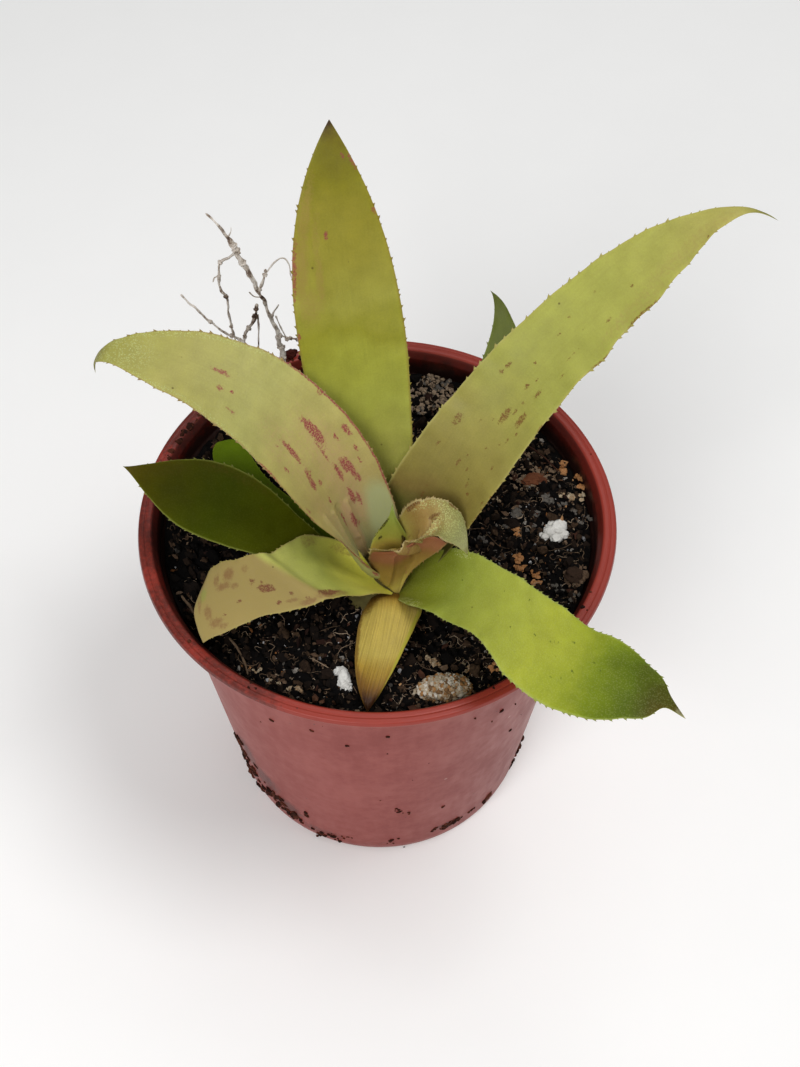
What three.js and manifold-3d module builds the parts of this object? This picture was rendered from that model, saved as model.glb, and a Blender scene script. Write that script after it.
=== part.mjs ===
// A young neoregelia bromeliad in a 12 cm nursery pot: eleven leaves on a short stem, potting mix
// with a few larger grains on top, and a dry root cluster at the back left.
// Millimetres, +Z up. The origin is the centre of the pot's foot, on the ground it stands on.
import * as THREE from "three";
import { ParametricGeometry } from "three/addons/geometries/ParametricGeometry.js";
import { mergeVertices } from "three/addons/utils/BufferGeometryUtils.js";
import Module from "manifold-3d";

const wasm = await Module();
wasm.setup();

const DEG = Math.PI / 180;
const SEAT = 0.35; // clearance between pieces that rest on or in each other

// ---- driving dimensions ------------------------------------------------------------------------
const POT = {
  height: 108,
  lipRadius: 60, // outer edge of the lip
  mouthRadius: 56.5, // inner edge of the lip
  bandRadius: 56.2, // straight band under the lip
  bandFoot: 98.5, // height of the shoulder that carries the band
  shoulderRadius: 53.4, // wall just under the shoulder
  footRadius: 42.6, // wall where it would meet the ground
  wall: 1.2,
  floor: 2.7, // top of the floor
  recess: 1.5, // hollow under the floor
  facets: 48,
};
const DRAIN = { count: 8, radius: 4, circle: 27, facets: 12 };
const SOIL = { level: 99.0, bank: 2.2, edge: 54.0, facets: 48, rings: 13 };
const STEM = { x: 3, y: -14, facets: 20 };
const LEAF = { rows: 15, columns: 6, steps: 150, spine: 0.6, hookFrom: 0.86 };

// Each leaf: `shell` is the radius of its sheath about the stem and `wrap` the half angle that the
// sheath covers; `foot` is the height of its base; `widths` are across the blade at one third, two
// thirds and just before the point; headings (90 is straight back) and lifts above the horizon are
// given at the base, one third, two thirds and the tip, as is the roll about the midrib; `channel`
// is the half angle of the section's arc after the sheath; `taper` shapes the point and `hook` is
// how far the point bends down.
const LEAVES = {
  leaf_heart: {
    shell: 2.2, wrap: 90, foot: 108.8, length: 14.2, widths: [13, 12, 7], thick: 0.6,
    heading: [95, 92, 92, 92], lift: [80, 79, 77, 75],
    roll: [0, 0, -1, -1], channel: [58, 30, 8],
    taper: [1.76, 1.65], hook: 4, colour: 0x9ea05c,
  },
  leaf_curled: {
    shell: 3.9, wrap: 96, foot: 105.7, length: 37, widths: [30, 23.5, 17.5], thick: 0.8,
    heading: [-49, -13, 2.5, -10], lift: [87, 90.5, 32.5, -91],
    roll: [7.5, 3, 10.5, 31.5], channel: [86.5, 61, 27.5],
    taper: [3.95, 1.05], hook: 38, colour: 0xa99a66,
  },
  leaf_left: {
    shell: 6.3, wrap: 112, foot: 104.7, length: 100.5, widths: [31, 18.5, 35], thick: 0.9,
    heading: [157, 143, 183.5, 169.5], lift: [68.5, 84, 17, -10.5],
    roll: [-3, 26, 11.5, 1], channel: [0.5, 22, -5],
    taper: [4.85, 1.65], hook: 79, colour: 0xa8a45f,
  },
  leaf_right: {
    shell: 8.9, wrap: 99, foot: 101.9, length: 128, widths: [25, 6, 44.5], thick: 1,
    heading: [37, 36, 28.5, 0], lift: [78, 35, 44.5, 31.5],
    roll: [-4, -23.5, -20.5, -4.5], channel: [-17, 11.5, 14],
    taper: [6.2, 2.9], hook: 67, colour: 0x9f9c50,
  },
  leaf_back: {
    shell: 9.3, wrap: 53, foot: 101.9, length: 106.5, widths: [24, 32, 31], thick: 1,
    heading: [107.5, 105.5, 106, 93], lift: [76, 60.5, 54.5, 53],
    roll: [-8, -1, 0, 0], channel: [25.5, 7, 4],
    taper: [4.2, 1], hook: 0, colour: 0x8f9634,
  },
  leaf_folded: {
    shell: 9.7, wrap: 66, foot: 102.4, length: 50.5, widths: [24, 8, 27], thick: 0.9,
    heading: [203.5, 224, 204, 167], lift: [81.5, 13, 9, -57],
    roll: [-2, -4.5, -3.5, 11.5], channel: [0, -11, -6],
    taper: [12, 0.3], hook: 3, colour: 0xa59d50,
  },
  leaf_front_right: {
    shell: 10.8, wrap: 66, foot: 101.5, length: 84.5, widths: [15.5, 21.5, 44], thick: 1,
    heading: [-37, -65, -44.5, -6.5], lift: [74, 4, 2.5, -3.5],
    roll: [-2, 2.5, 13, 6.5], channel: [-0.5, -12.5, 4.5],
    taper: [9.05, 2.65], hook: 40, colour: 0x7f9436,
  },
  leaf_left_dark: {
    shell: 10.6, wrap: 24, foot: 100.6, length: 64.5, widths: [6, 39.5, 29], thick: 0.9,
    heading: [183, 157.5, 155, 162], lift: [65, 12.5, 10, 2],
    roll: [-2.5, 5, 3.5, -2], channel: [14.5, 12.5, 3],
    taper: [4.05, 1.3], hook: -5, colour: 0x3d4a14,
  },
  leaf_back_right: {
    shell: 11.5, wrap: 38, foot: 100.8, length: 73.5, widths: [19, 19, 18], thick: 0.9,
    heading: [48, 43, 64, 119], lift: [73, 22, 22.5, 30.5],
    roll: [-3, -1.5, -0.5, 0], channel: [24, 10, 6],
    taper: [2.95, 1.2], hook: 37, colour: 0x3e6a2c,
  },
  leaf_yellow: {
    shell: 10.9, wrap: 40, foot: 100.6, length: 29.6, widths: [14, 12.5, 12], thick: 0.7,
    heading: [-89.5, -106, -104.5, -99.5], lift: [34, 8, -8, -24],
    roll: [9.5, -1.5, -4, -1], channel: [22, 12.5, 5],
    taper: [2.5, 0.8], hook: 0, colour: 0xb99a3a,
  },
  leaf_left_small: {
    shell: 12.2, wrap: 35, foot: 100.5, length: 48.5, widths: [10.5, 6.5, 14], thick: 0.8,
    heading: [162, 155, 132.5, 96.5], lift: [59, 4.5, -2.5, 1],
    roll: [2, 0, 0.5, 4], channel: [20, 10, 5],
    taper: [5, 0.3], hook: 0, colour: 0x5a8a20,
  },
};

// Larger grains on the mix: centre in plan, half sizes, turn about the vertical.
const GRAINS = {
  perlite_front: { at: [-7.7, -43.5], half: [1.5, 2.9, 1.5], turn: 12, colour: 0xc9cdd0 },
  pumice_front: { at: [16.4, -45.8], half: [5.6, 3.0, 2.4], turn: 8, colour: 0xa99a80 },
  perlite_right: { at: [45.0, 0.0], half: [3.0, 2.6, 2.2], turn: 30, colour: 0xc6c2bb },
  clump_right: { at: [47.4, -12.5], half: [2.9, 2.3, 1.9], turn: 50, colour: 0x54473c },
  bark_chip_right: { at: [40.6, 17.6], half: [2.9, 2.1, 1.0], turn: 20, colour: 0x5a3a30 },
};
const RIM_CRUMB = { at: [-24.4, 52.6], half: [2.0, 1.7, 1.7], turn: 15, colour: 0x3c1d18 };

// Dry roots: each strand is a radius and the points it runs through.
const DRY_ROOTS = [
  { radius: 1.0, through: [[-25, 43, 99.8], [-27, 45, 110], [-28, 46, 124], [-30, 46, 137], [-35, 46, 156.5]] },
  { radius: 0.75, through: [[-34.8, 46, 155], [-36, 46, 161], [-41.5, 46, 165.5]] },
  { radius: 0.6, through: [[-34.6, 46, 155], [-38, 45, 151], [-39, 44, 143], [-38, 44, 133], [-35, 42, 110]] },
  { radius: 0.6, through: [[-49.5, 40, 145.5], [-42.5, 40, 137], [-38, 40, 129], [-26.3, 44.2, 106]] },
  { radius: 0.6, through: [[-29, 45.5, 148], [-30.4, 46, 138.5], [-33, 44.5, 130], [-35, 44, 124.5]] },
  { radius: 0.5, through: [[-30.6, 46.2, 139.5], [-24.5, 48, 149.5], [-22.5, 48, 140]] },
  { radius: 0.5, through: [[-28.4, 46, 126], [-25.6, 47, 133.5]] },
];
const FIBRES = {
  twig_front_left: { radius: 0.6, from: [-35.6, -32.3], to: [-30.2, -43.4], colour: 0x6b5647 },
  straw_left: { radius: 0.5, from: [-48.2, -20.5], to: [-43.2, -30.0], colour: 0x9a8a76 },
  rootlet_right: { radius: 0.5, from: [39.5, 27.5], to: [47.0, 18.5], colour: 0x4c2d28 },
};

// ---- helpers -----------------------------------------------------------------------------------
const smooth = (x) => THREE.MathUtils.smoothstep(x, 0, 1);

// Cubic Bezier value through four control numbers.
function bezier(c, s) {
  const r = 1 - s;
  return c[0] * r ** 3 + 3 * c[1] * s * r * r + 3 * c[2] * s * s * r + c[3] * s ** 3;
}

// One closed body with shared corners and no collapsed triangles.
function closed(geometry) {
  geometry.deleteAttribute("normal");
  geometry.deleteAttribute("uv");
  const merged = mergeVertices(geometry, 1e-3);
  const index = merged.getIndex().array;
  const kept = [];
  for (let i = 0; i < index.length; i += 3) {
    const [a, b, c] = [index[i], index[i + 1], index[i + 2]];
    if (a !== b && b !== c && c !== a) kept.push(a, b, c);
  }
  merged.setIndex(kept);
  return merged;
}

function toSolid(geometry) {
  const body = closed(geometry);
  return new wasm.Manifold(new wasm.Mesh({
    numProp: 3,
    vertProperties: new Float32Array(body.getAttribute("position").array),
    triVerts: new Uint32Array(body.getIndex().array),
  }));
}

function toGeometry(solid) {
  const mesh = solid.getMesh();
  const geometry = new THREE.BufferGeometry();
  geometry.setAttribute("position", new THREE.BufferAttribute(new Float32Array(mesh.vertProperties), 3));
  geometry.setIndex(new THREE.BufferAttribute(new Uint32Array(mesh.triVerts), 1));
  return geometry;
}

// A body of revolution about Z from [radius, height] pairs.
function turned(profile, facets) {
  const lathe = new THREE.LatheGeometry(profile.map(([r, z]) => new THREE.Vector2(r, z)), facets);
  lathe.rotateX(Math.PI / 2);
  return lathe;
}

// A round rod of one radius along a smooth curve through the given points.
function rod(points, radius, steps, sides = 5) {
  const circle = new THREE.Shape();
  for (let k = 0; k < sides; k += 1) {
    const a = (2 * Math.PI * k) / sides;
    const [x, y] = [radius * Math.cos(a), radius * Math.sin(a)];
    if (k === 0) circle.moveTo(x, y);
    else circle.lineTo(x, y);
  }
  circle.closePath();
  const path = new THREE.CatmullRomCurve3(points.map((p) => new THREE.Vector3(...p)));
  return new THREE.ExtrudeGeometry(circle, { steps, bevelEnabled: false, extrudePath: path });
}

// Height of the mix: a low mound about the stem, gentle lumps, and a bank against the wall.
function soilTop(x, y) {
  const fromStem = Math.hypot(x - STEM.x, y - STEM.y);
  const mound = 1.2 * Math.exp(-((fromStem / 18) ** 2));
  const lumps = 0.45 * Math.sin(x / 8 + 1) * Math.cos(y / 9 - 0.5) + 0.25 * Math.sin((x + y) / 5);
  return SOIL.level + mound + lumps + SOIL.bank * (Math.hypot(x, y) / SOIL.edge) ** 6;
}

// ---- pot ---------------------------------------------------------------------------------------
const taperAt = (z) => ((POT.shoulderRadius - POT.footRadius) * z) / POT.bandFoot;
const outerWall = (z) => POT.footRadius + taperAt(z);
const innerWall = (z) => outerWall(z) - POT.wall;

function potBody() {
  const top = POT.height;
  const floorFromBelow = [[0, 0], [13, 0], [14.5, POT.recess], [36.5, POT.recess], [37.5, 0]];
  const wallOutside = [[41.2, 0], [42.5, 1.2], [outerWall(4), 4], [outerWall(97.5), 97.5]];
  const band = [
    [POT.bandRadius - 0.8, POT.bandFoot], [POT.bandRadius, POT.bandFoot + 1.4],
    [POT.bandRadius + 0.6, top - 2.6],
  ];
  const lip = [
    [POT.lipRadius - 0.5, top - 2.0], [POT.lipRadius, top - 1.3], [POT.lipRadius - 0.5, top],
    [58.4, top], [57.8, top - 0.4], [POT.mouthRadius, top - 0.5],
  ];
  const inside = [
    [POT.bandRadius - POT.wall + 0.3, top - 2.6], [POT.bandRadius - POT.wall, POT.bandFoot + 1.9],
    [innerWall(97.5), 97.3], [innerWall(POT.floor), POT.floor + 1], [innerWall(0) - 1.2, POT.floor],
    [0, POT.floor],
  ];
  let body = toSolid(turned([...floorFromBelow, ...wallOutside, ...band, ...lip, ...inside], POT.facets));
  for (let k = 0; k < DRAIN.count; k += 1) {
    const a = (2 * Math.PI * (k + 0.5)) / DRAIN.count;
    const hole = new THREE.CylinderGeometry(DRAIN.radius, DRAIN.radius, 4 * POT.floor, DRAIN.facets);
    hole.rotateX(Math.PI / 2);
    hole.translate(DRAIN.circle * Math.cos(a), DRAIN.circle * Math.sin(a), 0);
    body = body.subtract(toSolid(hole));
  }
  return toGeometry(body);
}

// ---- stem and its roots ------------------------------------------------------------------------
// The stem is a low dome with a growing point; every sheath starts just above it.
const DOME = [
  [12.4, 99.6], [10.6, 99.9], [9.6, 100.7], [8.4, 101.0], [6.2, 103.7], [4.4, 104.6],
  [3.3, 104.9], [1.8, 107.2], [1.5, 108.2],
];
const DOME_TOP = 108.6;
const COLLAR = { radius: 12.4, bottom: 97.2, tip: 88.0, tipRadius: 4 };
const BURIED_ROOTS = { count: 5, radius: 0.9, reach: 20, drop: 22 };

function stemBody(grow) {
  const profile = [
    [0, COLLAR.tip - grow], [COLLAR.tipRadius + grow, COLLAR.tip - grow],
    [COLLAR.radius + grow, COLLAR.bottom], ...DOME.map(([r, z]) => [r + grow, z + grow]),
    [0, DOME_TOP + grow],
  ];
  const dome = turned(profile, STEM.facets);
  dome.translate(STEM.x, STEM.y, 0);
  let body = toSolid(dome);
  const { reach, drop, radius } = BURIED_ROOTS;
  for (let k = 0; k < BURIED_ROOTS.count; k += 1) {
    const a = (2 * Math.PI * k) / BURIED_ROOTS.count + 0.3;
    const at = (r, z) => [STEM.x + r * Math.cos(a + r / 40), STEM.y + r * Math.sin(a + r / 40), z];
    const end = COLLAR.bottom - drop - grow;
    const path = [at(4, 93), at(0.5 * reach, 90), at(0.85 * reach, 84), at(reach, end)];
    body = body.add(toSolid(rod(path, radius + grow, 6)));
  }
  return body;
}

// ---- soil --------------------------------------------------------------------------------------
// A plug that fills the pot, with the stem's socket left open at the top.
function soilBody() {
  const bottom = POT.floor + SEAT;
  const side = (z) => innerWall(z) - 1.5 * SEAT;
  const rows = [[0, bottom], [side(0) - 1.7, bottom], [side(5), 5], [side(97.3), 97.3]];
  const stacks = rows.length - 1 + SOIL.rings;
  const plug = new ParametricGeometry((u, v, target) => {
    const a = 2 * Math.PI * u;
    const row = Math.round(v * stacks);
    if (row < rows.length) {
      target.set(rows[row][0] * Math.cos(a), rows[row][0] * Math.sin(a), rows[row][1]);
      return;
    }
    const r = SOIL.edge * (1 - (row - rows.length) / (SOIL.rings - 1));
    const [x, y] = [r * Math.cos(a), r * Math.sin(a)];
    target.set(x, y, soilTop(x, y));
  }, SOIL.facets, stacks);
  return toGeometry(toSolid(plug).subtract(stemBody(1.5 * SEAT)));
}

// ---- leaves ------------------------------------------------------------------------------------
// Midrib points and section directions, by walking along the leaf's heading and lift.
function midrib(leaf) {
  const start = leaf.heading[0] * DEG;
  const at = new THREE.Vector3(
    STEM.x + leaf.shell * Math.cos(start), STEM.y + leaf.shell * Math.sin(start), leaf.foot,
  );
  const stations = [];
  let before = null;
  for (let i = 0; i <= LEAF.steps; i += 1) {
    const s = i / LEAF.steps;
    const h = bezier(leaf.heading, s) * DEG;
    const bend = leaf.hook * smooth((s - LEAF.hookFrom) / (1 - LEAF.hookFrom));
    const e = (bezier(leaf.lift, s) - bend) * DEG;
    const along = new THREE.Vector3(Math.cos(e) * Math.cos(h), Math.cos(e) * Math.sin(h), Math.sin(e));
    const level = new THREE.Vector3(Math.sin(h), -Math.cos(h), 0);
    const up = new THREE.Vector3().crossVectors(level, along);
    const roll = bezier(leaf.roll, s) * DEG;
    const side = level.clone().multiplyScalar(Math.cos(roll)).addScaledVector(up, Math.sin(roll));
    const face = up.clone().multiplyScalar(Math.cos(roll)).addScaledVector(level, -Math.sin(roll));
    if (before) at.addScaledVector(along.clone().add(before), leaf.length / LEAF.steps / 2);
    before = along;
    stations.push({ s, at: at.clone(), side, face });
  }
  return stations;
}

function halfWidth(leaf, s) {
  const sheath = 2 * leaf.shell * leaf.wrap * DEG;
  const [power, point] = leaf.taper;
  const blade = (bezier([sheath, ...leaf.widths], s) / 2) * Math.max(1 - s ** power, 0) ** point;
  return Math.max(blade, LEAF.spine * Math.min(1, (1 - s) / 0.1));
}

// The blade's section is an arc across the midrib; the solid is that arc with a thickness that
// thins towards both margins, closed at the base and drawn to a point at the tip.
function leafBody(leaf) {
  const stations = midrib(leaf);
  const ring = 2 * (LEAF.columns + 1);
  return closed(new ParametricGeometry((u, v, target) => {
    const row = Math.round(v * (LEAF.rows + 1));
    const lengthwise = Math.max(row - 1, 0) / LEAF.rows;
    const station = stations[Math.round(lengthwise * LEAF.steps)];
    const k = Math.round(u * ring) % ring;
    const upper = k <= LEAF.columns;
    const across = ((upper ? k : ring - 1 - k) / LEAF.columns) * 2 - 1;
    const arc = bezier([leaf.wrap, ...leaf.channel], station.s) * DEG || 1e-6;
    const half = halfWidth(leaf, station.s);
    const turn = arc * across;
    const reach = (half * Math.sin(turn)) / arc;
    const rise = (half * (1 - Math.cos(turn))) / arc;
    const thin = (1 - 0.55 * across ** 2) * (1 - 0.5 * station.s);
    const depth = row === 0 || row > LEAF.rows ? 0 : (upper ? 0.5 : -0.5) * leaf.thick * thin;
    target.copy(station.at)
      .addScaledVector(station.side, reach - depth * Math.sin(turn))
      .addScaledVector(station.face, rise + depth * Math.cos(turn));
  }, ring, LEAF.rows + 1));
}

// ---- loose grains, fibres and dry roots --------------------------------------------------------
// A rough pebble: an icosphere pushed in and out by slow waves, then squashed.
function pebble(grain) {
  const ball = new THREE.IcosahedronGeometry(1, 1);
  const p = ball.getAttribute("position");
  for (let i = 0; i < p.count; i += 1) {
    const [x, y, z] = [p.getX(i), p.getY(i), p.getZ(i)];
    const swell = 1 + 0.1 * Math.sin(4 * x + 2 * y + grain.turn) + 0.08 * Math.sin(5 * y - 3 * z);
    p.setXYZ(i, x * swell * grain.half[0], y * swell * grain.half[1], z * swell * grain.half[2]);
  }
  ball.rotateZ(grain.turn * DEG);
  ball.translate(grain.at[0], grain.at[1], 0);
  return closed(ball);
}

// Lower or raise a body until its lowest point clears the surface under it by the seat.
function restOn(geometry, height) {
  const p = geometry.getAttribute("position");
  let least = Infinity;
  for (let i = 0; i < p.count; i += 1) {
    least = Math.min(least, p.getZ(i) - height(p.getX(i), p.getY(i)));
  }
  geometry.translate(0, 0, SEAT - least);
  return geometry;
}

function fibre({ radius, from, to }) {
  const points = [];
  for (let k = 0; k <= 4; k += 1) {
    const t = k / 4;
    const x = from[0] + (to[0] - from[0]) * t + 1.2 * Math.sin(Math.PI * t);
    const y = from[1] + (to[1] - from[1]) * t;
    points.push([x, y, soilTop(x, y) + radius]);
  }
  return restOn(closed(rod(points, radius, 8)), (u, v) => soilTop(u, v) + 0.1);
}

function dryRoots() {
  let body = null;
  for (const { radius, through } of DRY_ROOTS) {
    const strand = toSolid(rod(through, radius, 2 * (through.length - 1)));
    body = body ? body.add(strand) : strand;
  }
  const [x, y, z] = DRY_ROOTS[0].through[0];
  const geometry = toGeometry(body);
  geometry.translate(0, 0, soilTop(x, y) + SEAT + 0.3 - z);
  return geometry;
}

// ---- scene graph -------------------------------------------------------------------------------
const plant = new THREE.Group();

function addPiece(name, geometry, colour, roughness) {
  const material = new THREE.MeshStandardMaterial({ color: colour, roughness, metalness: 0 });
  const mesh = new THREE.Mesh(geometry, material);
  mesh.name = name;
  plant.add(mesh);
}

addPiece("pot", potBody(), 0x8e4a44, 0.5);
addPiece("soil", soilBody(), 0x1c1714, 0.95);
addPiece("stem", toGeometry(stemBody(0)), 0x8a7f52, 0.7);
for (const [name, leaf] of Object.entries(LEAVES)) addPiece(name, leafBody(leaf), leaf.colour, 0.5);
for (const [name, grain] of Object.entries(GRAINS)) {
  addPiece(name, restOn(pebble(grain), soilTop), grain.colour, 0.9);
}
addPiece("rim_crumb", restOn(pebble(RIM_CRUMB), () => POT.height), RIM_CRUMB.colour, 0.9);
addPiece("dry_roots", dryRoots(), 0x9b8f88, 0.9);
for (const [name, piece] of Object.entries(FIBRES)) addPiece(name, fibre(piece), piece.colour, 0.9);

export default plant;
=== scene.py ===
"""A young neoregelia bromeliad in a 12 cm nursery pot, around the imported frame.

Lengths in the tables and formulas are millimetres; meshes are written in metres. Z is up, the pot's
axis is the Z axis and its foot stands on Z = 0.
"""
import math

import bpy
import numpy as np
from bpy.props import FloatProperty, FloatVectorProperty, IntProperty, PointerProperty
from mathutils import Matrix


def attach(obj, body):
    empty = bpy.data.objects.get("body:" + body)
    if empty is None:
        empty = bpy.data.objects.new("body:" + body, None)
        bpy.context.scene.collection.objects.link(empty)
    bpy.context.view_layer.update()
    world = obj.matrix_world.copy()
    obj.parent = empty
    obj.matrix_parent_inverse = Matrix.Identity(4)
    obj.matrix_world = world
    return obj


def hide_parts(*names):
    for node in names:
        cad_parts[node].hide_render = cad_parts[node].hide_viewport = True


bl_info = {
    "name": "Neoregelia in a nursery pot",
    "version": (1, 0, 0),
    "blender": (4, 5, 0),
    "location": "View3D > Sidebar > Bromeliad",
    "description": "Builds a potted neoregelia bromeliad, its pot, mix and dry roots",
    "category": "Add Mesh",
}

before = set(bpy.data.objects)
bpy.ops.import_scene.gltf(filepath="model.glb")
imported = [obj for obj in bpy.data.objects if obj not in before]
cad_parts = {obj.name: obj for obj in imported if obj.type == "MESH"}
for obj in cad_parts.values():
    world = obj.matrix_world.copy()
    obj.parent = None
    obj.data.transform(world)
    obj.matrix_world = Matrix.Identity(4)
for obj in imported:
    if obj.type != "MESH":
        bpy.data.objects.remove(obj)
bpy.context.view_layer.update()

MM = 0.001
TAU = 2 * math.pi

# ---- the pot, the mix and the stem, as the solids have them -------------------------------------
POT_HEIGHT = 108.0
LIP_RADIUS = 60.0
MOUTH_RADIUS = 56.5
BAND_RADIUS = 56.2
BAND_FOOT = 98.5
SHOULDER_RADIUS = 53.4
FOOT_RADIUS = 42.6
WALL = 1.2
FLOOR = 2.7
RECESS = 1.5
DRAIN_COUNT = 8
DRAIN_RADIUS = 4.0
DRAIN_CIRCLE = 27.0
DRAIN_BAND = 7.0
SOIL_LEVEL = 99.0
SOIL_EDGE = 54.0
SOIL_BANK = 2.2
STEM = (3.0, -14.0)
# How far pieces stay apart, and how high the crumb on the rim lies over it.
SEAT = 0.35
RIM_GAP = 0.1
# Crumbs lie within this radius, and this far from the stem.
STREWN_RADIUS = 53.4
STEM_CLEAR = 9.0
RUSTY_TONE = 0.32
# A leaf's tip bends over from this share of its length, and ends in a spine this wide.
HOOK_FROM = 0.86
SPINE = 0.6
MIDRIB_STEPS = 600
# Spacing of the points of a blade, along it and across it.
BLADE_STEPS = (0.42, 0.5)


# ---- small tools --------------------------------------------------------------------------------
def linear(hex_value):
    """An sRGB hex value as linear red, green and blue."""
    parts = [int(hex_value[i:i + 2], 16) / 255 for i in (0, 2, 4)]
    return tuple(c / 12.92 if c <= 0.04045 else ((c + 0.055) / 1.055) ** 2.4 for c in parts)


def paint(colour):
    """A hex value, or a colour setting, with full alpha, as a node's colour socket wants it."""
    return (*(linear(colour) if isinstance(colour, str) else colour), 1.0)


def smooth(x):
    """A soft step from 0 at 0 to 1 at 1."""
    x = np.clip(x, 0.0, 1.0)
    return x * x * (3 - 2 * x)


def bezier(control, s):
    """The cubic Bezier value of four control numbers at s."""
    a, b, c, d = control
    r = 1 - s
    return a * r ** 3 + 3 * b * s * r * r + 3 * c * s * s * r + d * s ** 3


def spline_shares(knots, at):
    """Row i holds the share that each knot has at the place at[i], for a smooth (Catmull-Rom) curve
    through values given at the knots; past an end the curve has a knot mirrored in the end one."""
    count = len(knots)
    t = np.interp(at, knots, np.arange(count))
    k = np.clip(t.astype(int), 0, count - 2)
    u = t - k
    cubic = np.stack([-u + 2 * u ** 2 - u ** 3, 2 - 5 * u ** 2 + 3 * u ** 3,
                      u + 4 * u ** 2 - 3 * u ** 3, u ** 3 - u ** 2], 1) / 2
    wide = np.zeros((len(t), count + 2))
    for j in range(4):
        wide[np.arange(len(t)), k + j] += cubic[:, j]
    shares = wide[:, 1:-1].copy()
    for end, nxt, past in ((0, 1, 0), (-1, -2, -1)):
        shares[:, end] += 2 * wide[:, past]
        shares[:, nxt] -= wide[:, past]
    return shares


def waves(x, y, size, seed, count=7):
    """Smooth noise from -1 to 1: the mean of plane waves about `size` long in random directions."""
    rng = np.random.default_rng(seed)
    total = np.zeros(np.broadcast(x, y).shape)
    for turn, stretch, phase in rng.random((count, 3)) * (TAU, 1.0, TAU):
        k = TAU / (size * (0.6 + 0.8 * stretch))
        total = total + np.sin(k * (x * math.cos(turn) + y * math.sin(turn)) + phase)
    return total / math.sqrt(count) * 0.8


def unit(vectors):
    """The vectors scaled to length 1."""
    return vectors / np.linalg.norm(vectors, axis=-1, keepdims=True)


def turned(points, degrees):
    """Points turned about the vertical."""
    c, s = math.cos(math.radians(degrees)), math.sin(math.radians(degrees))
    return points @ np.array([(c, s, 0), (-s, c, 0), (0, 0, 1)])


def grid(points, around=False, **data):
    """A part from points on a grid of rows and columns; `around` closes each row on itself. A part
    has points, faces of four corners, the fourth of a triangle being -1, and layers of data."""
    rows, cols = points.shape[:2]
    row = np.arange(rows - 1)[:, None]
    col = np.arange(cols if around else cols - 1)[None, :]
    nxt = (col + 1) % cols
    quads = np.stack([row * cols + col, row * cols + nxt,
                      (row + 1) * cols + nxt, (row + 1) * cols + col], -1).reshape(-1, 4)
    layers = {k: np.broadcast_to(v, points.shape[:2] + np.shape(v)[2:]).reshape(rows * cols, -1)
              for k, v in data.items()}
    return {"points": points.reshape(-1, 3), "faces": quads, "data": layers}


def copies(points, faces, tone):
    """A part from many placed copies: points (copy, vertex, 3), one list of faces for each copy, and
    a tone for each."""
    count, verts = points.shape[:2]
    shifted = np.where(faces < 0, -1, faces + np.arange(count)[:, None, None] * verts)
    return {"points": points.reshape(-1, 3), "faces": shifted.reshape(-1, 4),
            "data": {"tone": np.broadcast_to(tone, (count, verts)).reshape(-1, 1)}}


def joined(parts):
    """Several parts as one; a layer that a part lacks is 0 there."""
    sizes = [len(p["points"]) for p in parts]
    starts = np.cumsum([0, *sizes])
    wide = {k: v.shape[1] for p in parts for k, v in p["data"].items()}
    return {"points": np.concatenate([p["points"] for p in parts]),
            "faces": np.concatenate([np.where(p["faces"] < 0, -1, p["faces"] + start)
                                     for p, start in zip(parts, starts)]),
            "data": {k: np.concatenate([p["data"].get(k, np.zeros((size, wide[k])))
                                        for p, size in zip(parts, sizes)]) for k in sorted(wide)}}


def welded(part, tolerance=1e-4):
    """The part with coincident points merged, and with the faces that this closes up left out."""
    keys = np.round(part["points"] / tolerance).astype(np.int64)
    _, first, back = np.unique(keys, axis=0, return_index=True, return_inverse=True)
    faces = part["faces"]
    four = back.ravel()[np.where(faces < 0, faces[:, :1], faces)]
    same = four == np.roll(four, -1, 1)
    left = 4 - same.sum(1)
    packed = np.where(left[:, None] == 4, four, -1)
    three = left == 3
    keep = np.argsort(same[three], 1, kind="stable")[:, :3]
    packed[three, :3] = np.take_along_axis(four[three], np.sort(keep, 1), 1)
    return {"points": part["points"][first], "faces": packed[left >= 3],
            "data": {k: v[first] for k, v in part["data"].items()}}


def outward(part):
    """The part with its faces turned outwards, by the sign of the volume that they enclose."""
    f = part["faces"]
    a, b, c, d = (part["points"][np.where(f < 0, f[:, :1], f)[:, i]] for i in range(4))
    if np.einsum("ij,ij->", a, np.cross(b, c) + np.cross(c, d)) < 0:
        f = np.where(f[:, 3:] < 0, f[:, (2, 1, 0, 3)], f[:, ::-1])
    return {**part, "faces": f}


def shown(name, data):
    """A new object of some data, in the scene."""
    made = bpy.data.objects.new(name, data)
    bpy.context.scene.collection.objects.link(made)
    return made


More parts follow.
